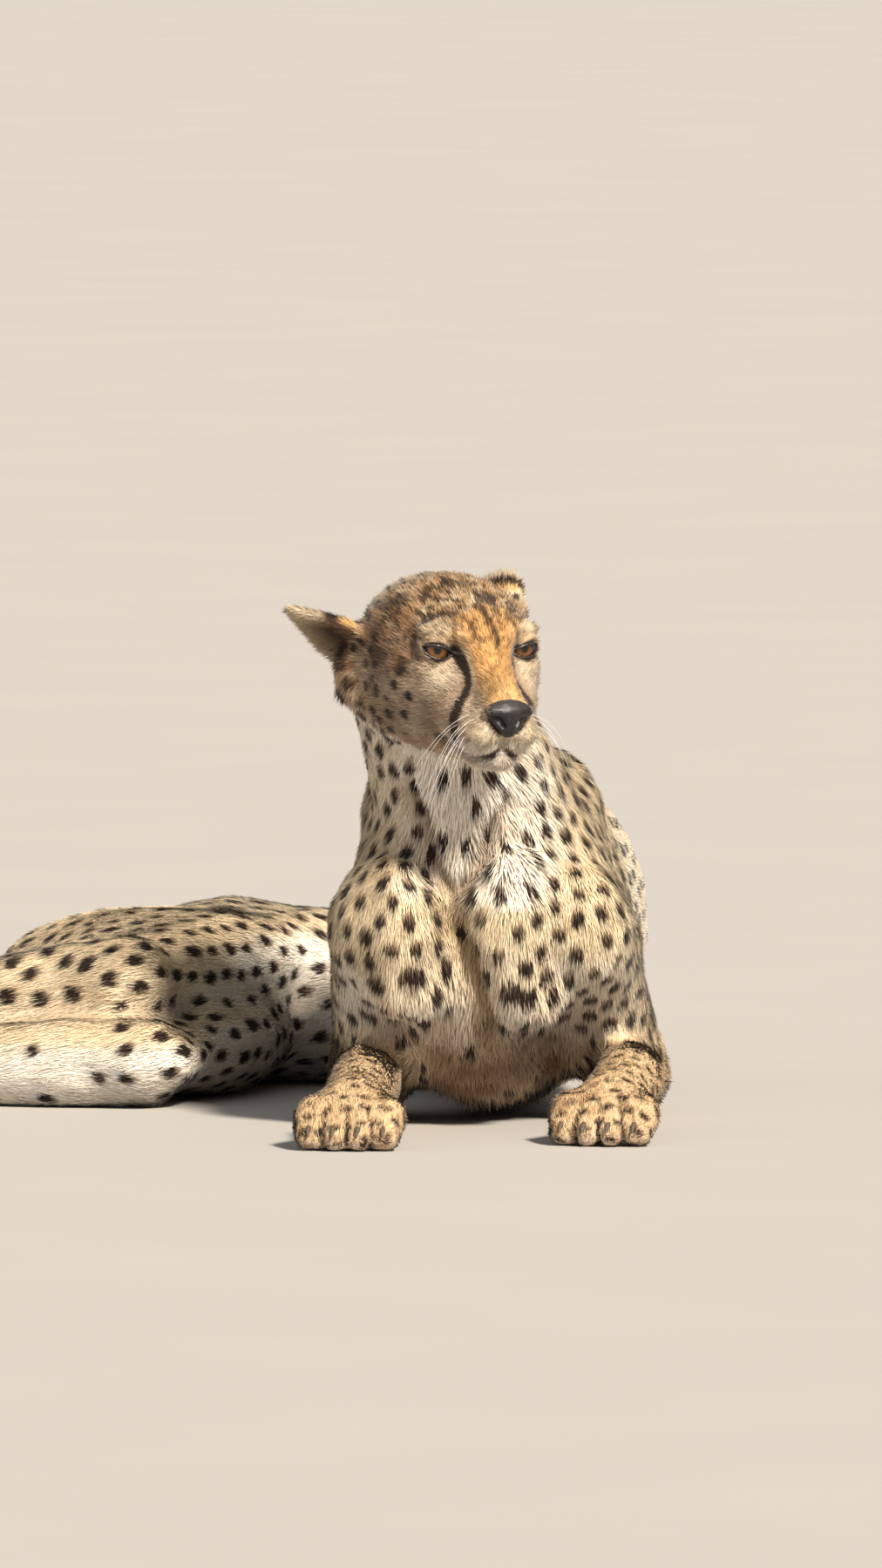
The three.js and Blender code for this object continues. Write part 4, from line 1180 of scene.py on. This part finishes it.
# %% Strew the coat
COAT_PARTS = {
    "head": ("head", "ear"), "neck": ("neck",), "chest": ("chest",), "arms": ("upper_arm",),
    "paws": ("forearm", "forepaw", "hind_foot"), "ribs": ("ribs",), "loin": ("loin",), "rump": ("rump",),
    "legs": ("thigh", "shank"), "tail": ("tail",),
}
CM2 = 1e-4
MOST_TRIANGLES = 196000  # in one piece
FEWEST_TUFTS = 200
THINNING = 1.0
off_floor = ease(surface[:, 2], 1.2 * MM, 3 * MM)
outside_eye = ~(near_eye & (opening < 1.06))
furred = outside_eye * (1 - on_head[:, 0] * (1 - ease(nose_gap, 0.78, 0.95)))
long = ease(long_coat[:, 0], 0.15, 0.4)
total = 0
for part, kinds in COAT_PARTS.items():
    crowd = traits[:, CROWD] * of_kind(*kinds) * off_floor * furred * THINNING
    for shape, form, share in (("short", SHORT_TUFT, 1 - long), ("long", LONG_TUFT, long)):
        count = int((AREAS * (crowd * share)[TRIANGLES].mean(axis=1)).sum() / CM2)
        if count < FEWEST_TUFTS:
            continue
        where, weights = strewn(count, crowd * share)
        pieces = math.ceil(count * len(form[1]) / MOST_TRIANGLES)
        for k in range(pieces):
            take = slice(k, None, pieces)
            name = f"coat_{part}_{shape}_{k + 1}"
            piece = lay_tufts(name, form, where[take], weights[take])
            piece.data.materials.append(FUR)
            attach(piece, "root")
            total += len(piece.data.polygons)
print("coat triangles:", total)

# %% [markdown]
# ## Eyes
#
# Each eyeball is a sphere whose pole looks along the gaze, a little fuller where the cornea is. The
# iris is painted by how far a point is from that pole, and streaked outward like a real one. Its upper
# part is darkened by a painted shadow of the lid and brow. A clear coat gives the wet shine. A dark
# rim of skin follows the edge of the lids.

# %% Eyeballs
GAZE = {"right": (17, 9), "left": (-3, 9)}  # degrees outward and up from straight ahead
IRIS_RADIUS, CORNEA_RISE, CORNEA_REACH = 8.0, 0.8, 1.15  # mm, mm, and times the iris


def eye_ray(azimuth, elevation, mirror):
    """A direction from an eye, by its angles outward and up; mirror is -1 for the left one."""
    level = np.cos(elevation)
    return np.array((mirror * np.sin(azimuth) * level, np.cos(azimuth) * level, np.sin(elevation)))


def eye_finish():
    finish = Finish("wet eye", Roughness=0.25, Specular_IOR_Level=0.2, Coat_Weight=0.45, Coat_Roughness=0.04)
    far = finish.attribute("from_pupil", "Fac")
    streak = finish.noise(9.0, 4, finish.attribute("streaks", "Vector"))
    rings = [(0.0, (0.003, 0.002, 0.002)), (0.26, (0.003, 0.002, 0.002)), (0.33, (0.08, 0.031, 0.009)),
             (0.50, (0.16, 0.068, 0.022)), (0.76, (0.11, 0.042, 0.013)), (0.93, (0.02, 0.009, 0.005)),
             (1.0, (0.006, 0.004, 0.004))]
    iris = finish.node("ShaderNodeValToRGB", {"ramp": rings}, {"Fac": far + (streak - 0.5) * 0.10})
    lit = finish.blend(0.6, iris, finish.blend(streak, (0.35, 0.35, 0.35), (1.5, 1.4, 1.3)), "MULTIPLY")
    # painted shadow of the lid and brow over the upper iris
    lid_shadow_share = finish.attribute("under_lid", "Fac") * 0.85
    finish.set("Base Color", finish.blend(lid_shadow_share, lit, (0.006, 0.004, 0.003)))
    return finish.material


WET_EYE = eye_finish()
for side, mirror in (("right", 1), ("left", -1)):
    azimuth, elevation = (math.radians(a) for a in GAZE[side])
    gaze = eye_ray(azimuth, elevation, mirror)
    globe = bmesh.new()
    bmesh.ops.create_uvsphere(globe, u_segments=64, v_segments=48, radius=BALL_RADIUS)
    turn = Vector((0, 0, 1)).rotation_difference(Vector(gaze)).to_matrix().to_4x4()
    far, streaks = [], []
    for v in globe.verts:
        angle = math.acos(max(-1, min(1, v.co.z / BALL_RADIUS)))
        reach = BALL_RADIUS * angle / IRIS_RADIUS
        far.append(reach)
        about = math.atan2(v.co.y, v.co.x)
        streaks.append((math.cos(about), math.sin(about), 0.25 * reach))
        if reach < CORNEA_REACH:
            v.co *= 1 + CORNEA_RISE / BALL_RADIUS * (1 - (reach / CORNEA_REACH) ** 2)
    bmesh.ops.transform(globe, matrix=turn, verts=globe.verts)
    mesh = bpy.data.meshes.new("eyeball_" + side)
    globe.to_mesh(mesh)
    globe.free()
    q = coordinates(mesh) + EYE * (mirror, 1, 1)
    set_coordinates(mesh, from_head(q))
    _, high = eye_angles(q)
    # how much painted shadow of the lid falls on each point
    keep_on_points(mesh, "under_lid", ease(high / EYE_HALF_HEIGHT, -0.55, 0.6))
    keep_on_points(mesh, "from_pupil", far)
    keep_on_points(mesh, "streaks", streaks)
    shade_smooth(mesh)
    eyeball_piece = new_object("eyeball_" + side, mesh)
    mesh.materials.append(WET_EYE)
    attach(eyeball_piece, "root")
    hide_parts("eye_" + side)
    print("eyeball", side, "gaze", gaze.round(2))

# %% Rims of the lids
RIM_STEPS, RIM_THICKNESS = 72, 1.0 * MM


def tubes(name, lines, thickness, sides):
    """Closed or open lines as one mesh of tubes; each line has its points, radii and a closed flag."""
    curve = bpy.data.curves.new(name, "CURVE")
    curve.dimensions = "3D"
    curve.bevel_depth = thickness
    curve.bevel_resolution = sides
    curve.use_fill_caps = True
    for points, radii, closed in lines:
        spline = curve.splines.new("POLY")
        spline.points.add(len(points) - 1)
        spline.points.foreach_set("co", np.column_stack((points, np.ones(len(points)))).ravel())
        spline.points.foreach_set("radius", radii)
        spline.use_cyclic_u = closed
    carrier = new_object(name + "_lines", curve)
    mesh = bpy.data.meshes.new_from_object(carrier.evaluated_get(bpy.context.evaluated_depsgraph_get()))
    bpy.data.objects.remove(carrier)
    bpy.data.curves.remove(curve)
    shade_smooth(mesh)
    return new_object(name, mesh)


def dark_skin_finish():
    finish = Finish("dark bare skin", Roughness=0.38, Coat_Weight=0.35, Coat_Roughness=0.2)
    grain = finish.noise(1500, 4)
    finish.set("Base Color", finish.blend(grain, (0.008, 0.006, 0.006), (0.035, 0.026, 0.022)))
    finish.bump(grain, 0.4, 0.0004)
    return finish.material


DARK_SKIN = dark_skin_finish()
loop = np.linspace(0, 2 * np.pi, RIM_STEPS, endpoint=False)
out_edge = EYE_HALF_WIDTH * np.cos(loop)
up_edge = lid_height(np.cos(loop), np.sin(loop) > 0) * np.sign(np.sin(loop))
rims = []
for side, mirror in (("right", 1), ("left", -1)):
    rays = eye_ray(out_edge + EYE_TURN, up_edge + EYE_LIFT + EYE_SLANT * out_edge, mirror).T
    points = EYE * (mirror, 1, 1) + rays * (LID_RADIUS - 0.3)
    thick = 0.5 + 0.5 * ease(up_edge, 0, 0.2) + 0.3 * ease(-out_edge / EYE_HALF_WIDTH, 0.55, 1.0)
    rims.append((from_head(points), thick, True))
rim_piece = tubes("lid_rims", rims, RIM_THICKNESS, 3)
rim_piece.data.materials.append(DARK_SKIN)
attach(rim_piece, "root")
print("rims:", len(rim_piece.data.polygons), "faces")

# %% [markdown]
# ## Nose leather
#
# The nose pad is bare, pebbled and nearly black, lighter on top with a painted sheen. Each nostril is a comma
# that starts beside the middle and runs outward and up into a slit under the wing. The pad is a melted
# copy of its solid, with the nostrils and the middle groove pressed in and darkened by painted shade.

# %% Nose pad
NOSTRIL = np.array([(6.0, 68, -41.5), (8.5, 67, -38.5), (12.5, 64, -36.5), (16, 60, -35.2),
                    (19, 54, -34.6)], float)
nose_piece = melted(new_object("nose_leather", copy_of(["nose"], 0.5 * MM)), 0.75 * MM)
soften = nose_piece.modifiers.new("soften", "SMOOTH")
soften.factor, soften.iterations = 0.5, 14
applied(nose_piece)
places = coordinates(nose_piece.data)
outward = normals_of(nose_piece, places)
q = to_head(places)
q[:, 0] *= 1 - 0.55 * ease(-q[:, 2], 38, 51)
q[:, 2] += 1.5 * ease(-q[:, 2], 28, 22)
places = from_head(q)
slit, along = line_distance(folded(q), NOSTRIL)
groove = np.exp(-(q[:, 0] / 0.8) ** 2) * ease(-q[:, 2], 33, 37)
pressed = 5.0 * np.exp(-(slit / np.interp(along, (0, 0.3, 1), (2.6, 3.6, 1.9))) ** 2) + 0.9 * groove
set_coordinates(nose_piece.data, places - outward * (pressed * MM)[:, None])
shade_smooth(nose_piece.data)
# the pressed-in places are stored for painted shade
keep_on_points(nose_piece.data, "deep", ease(pressed, 0.8, 3.0))
print("nose pad:", len(nose_piece.data.polygons), "faces")


def leather_finish():
    finish = Finish("nose leather", Specular_IOR_Level=0.5)
    place = finish.node("ShaderNodeTexCoord", {}, {}, "Object")
    pebbles = finish.node("ShaderNodeTexVoronoi", {"feature": "F1"}, {"Vector": place, "Scale": 950.0},
                          "Distance")
    wear = finish.noise(160, 4)
    facing = finish.node("ShaderNodeNewGeometry", {}, {}, "Normal")
    up = finish.node("ShaderNodeSeparateXYZ", {}, {"Vector": facing}, "Z")
    # painted sheen: the leather is made lighter where it faces up
    top = finish.node("ShaderNodeMapRange", {"clamp": True}, {"Value": up, "From Min": 0.1, "From Max": 0.9})
    skin_tone = finish.blend(wear * 0.6, (0.005, 0.004, 0.004), (0.014, 0.011, 0.010))
    with_painted_sheen = finish.blend(top * 0.7, skin_tone, (0.050, 0.041, 0.039))
    # painted shade in the pressed-in nostrils and groove
    finish.set("Base Color", finish.blend(finish.attribute("deep", "Fac"), with_painted_sheen, (0.004, 0.003, 0.003)))
    finish.set("Roughness", 0.36 + wear * 0.2)
    finish.bump(pebbles, 0.22, 0.0004)
    return finish.material


nose_piece.data.materials.append(leather_finish())
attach(nose_piece, "root")
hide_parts("nose")

# %% [markdown]
# ## Whiskers
#
# Long pale whiskers grow in rows from the pads beside the nose. They leave the skin outward and a
# little back, and their own weight bends them down. Each is a thin tube that narrows to its tip.

# %% Whiskers
WHISKER_ROWS, WHISKER_STEPS, WHISKER_THICKNESS = 4, 14, 0.17 * MM
share = np.linspace(0, 1, WHISKER_STEPS)[:, None]
whiskers = []
for mirror in (1, -1):
    for row in range(WHISKER_ROWS):
        for place in range(2 + row % 2):
            root = np.array((21.5 + 1.2 * row, 51 - 5.0 * place - 1.2 * row, -41 - 5.2 * row))
            root = root + RNG.normal(0, 0.7, 3)
            heading = unit(np.array((1.0, 0.3 - 0.3 * place, -0.25 - 0.34 * row)) + RNG.normal(0, 0.12, 3))
            length = RNG.uniform(26, 44) * (1 - 0.12 * (place == 0))
            droop = np.array((-0.1, -0.15, -0.70)) * RNG.uniform(0.6, 1.4)
            line = from_head((root + heading * length * share + droop * length * share ** 2) * (mirror, 1, 1))
            start = skin_tree.find_nearest(Vector(line[0]))[0]
            whiskers.append((line + (np.array(start) - line[0]), np.linspace(1, 0.35, WHISKER_STEPS), False))
whisker_piece = tubes("whiskers", whiskers, WHISKER_THICKNESS, 0)
pale_hair = Finish("whisker", Roughness=0.35, Specular_IOR_Level=0.5)
pale_hair.set("Base Color", pale_hair.blend(pale_hair.noise(60), (0.72, 0.68, 0.62), (0.95, 0.93, 0.90)))
whisker_piece.data.materials.append(pale_hair.material)
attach(whisker_piece, "root")
print("whiskers:", len(whiskers), "with", len(whisker_piece.data.polygons), "faces")

# %% [markdown]
# ## Claws
#
# A cheetah's claws stay out, blunt and worn. Each solid is a straight cone; the real claw arches over
# and narrows late, so each is a short bent tube from the cone's base to its tip. The horn is streaked
# and paler where it is worn.

# %% Claws
CLAW_RADIUS, CLAW_TIP_RADIUS, CLAW_ARCH = 2.7, 0.35, 2.2  # mm
share = np.linspace(0, 1, 10)
bent = []
for name in CLAWS:
    corners = coordinates(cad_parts[name].data)
    base = np.median(corners, axis=0)
    tip = corners[np.argmax(np.linalg.norm(corners - base, axis=1))]
    line = base + (tip - base) * share[:, None]
    line[:, 2] += CLAW_ARCH * MM * np.sin(np.pi * share)
    bent.append((line, CLAW_TIP_RADIUS + CLAW_RADIUS * (1 - share) ** 0.6, False))
claw_piece = tubes("claw_horn", bent, MM, 4)
horn = Finish("claw horn", Specular_IOR_Level=0.5)
streaks = horn.noise(420, 5)
horn.set("Base Color", horn.blend(streaks, (0.030, 0.020, 0.014), (0.16, 0.115, 0.080)))
horn.set("Roughness", 0.34 + streaks * 0.3)
horn.bump(streaks, 0.35, 0.0005)
claw_piece.data.materials.append(horn.material)
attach(claw_piece, "root")
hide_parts(*CLAWS)
print("claws:", len(CLAWS), "with", len(claw_piece.data.polygons), "faces")

# %% [markdown]
# ## Floor and light
#
# A wide pale floor and a pale sky keep the animal's outline clear. The key light is a soft sun from
# in front, above and the animal's left, and a weak one from the other side lifts the shadows.

# %% Floor
FLOOR_HALF = 150  # metres, so that its edge stays far out of sight
ground = bmesh.new()
bmesh.ops.create_grid(ground, x_segments=1, y_segments=1, size=FLOOR_HALF)
floor_mesh = bpy.data.meshes.new("floor")
ground.to_mesh(floor_mesh)
ground.free()
floor = new_object("floor", floor_mesh)
plaster = Finish("pale floor", Roughness=0.9, Specular_IOR_Level=0.1)
plaster.set("Base Color", plaster.blend(plaster.noise(3), (0.42, 0.395, 0.36), (0.46, 0.43, 0.395)))
floor.data.materials.append(plaster.material)

# %% Light
def sun(name, power, colour, softness, towards):
    lamp = bpy.data.lights.new(name, "SUN")
    lamp.energy, lamp.color, lamp.angle = power, colour, math.radians(softness)
    light = new_object(name, lamp)
    light.rotation_euler = Vector(towards).to_track_quat("-Z", "Y").to_euler()


sun("key", 7.6, (1.0, 0.92, 0.82), 7, (-0.33, 0.68, -0.56))
sun("fill", 0.3, (0.86, 0.93, 1.0), 40, (0.8, 0.7, -0.35))
world = bpy.data.worlds.new("pale sky")
bpy.context.scene.world = world
world.use_nodes = True
sky = world.node_tree.nodes["Background"].inputs
sky["Color"].default_value = (0.80, 0.83, 0.89, 1)
sky["Strength"].default_value = 0.40
bpy.context.scene.view_settings.view_transform = "Standard"

# %% Sizes, and the end
print("cad box   ", [[round(x, 4) for x in v] for v in CAD_BOX])
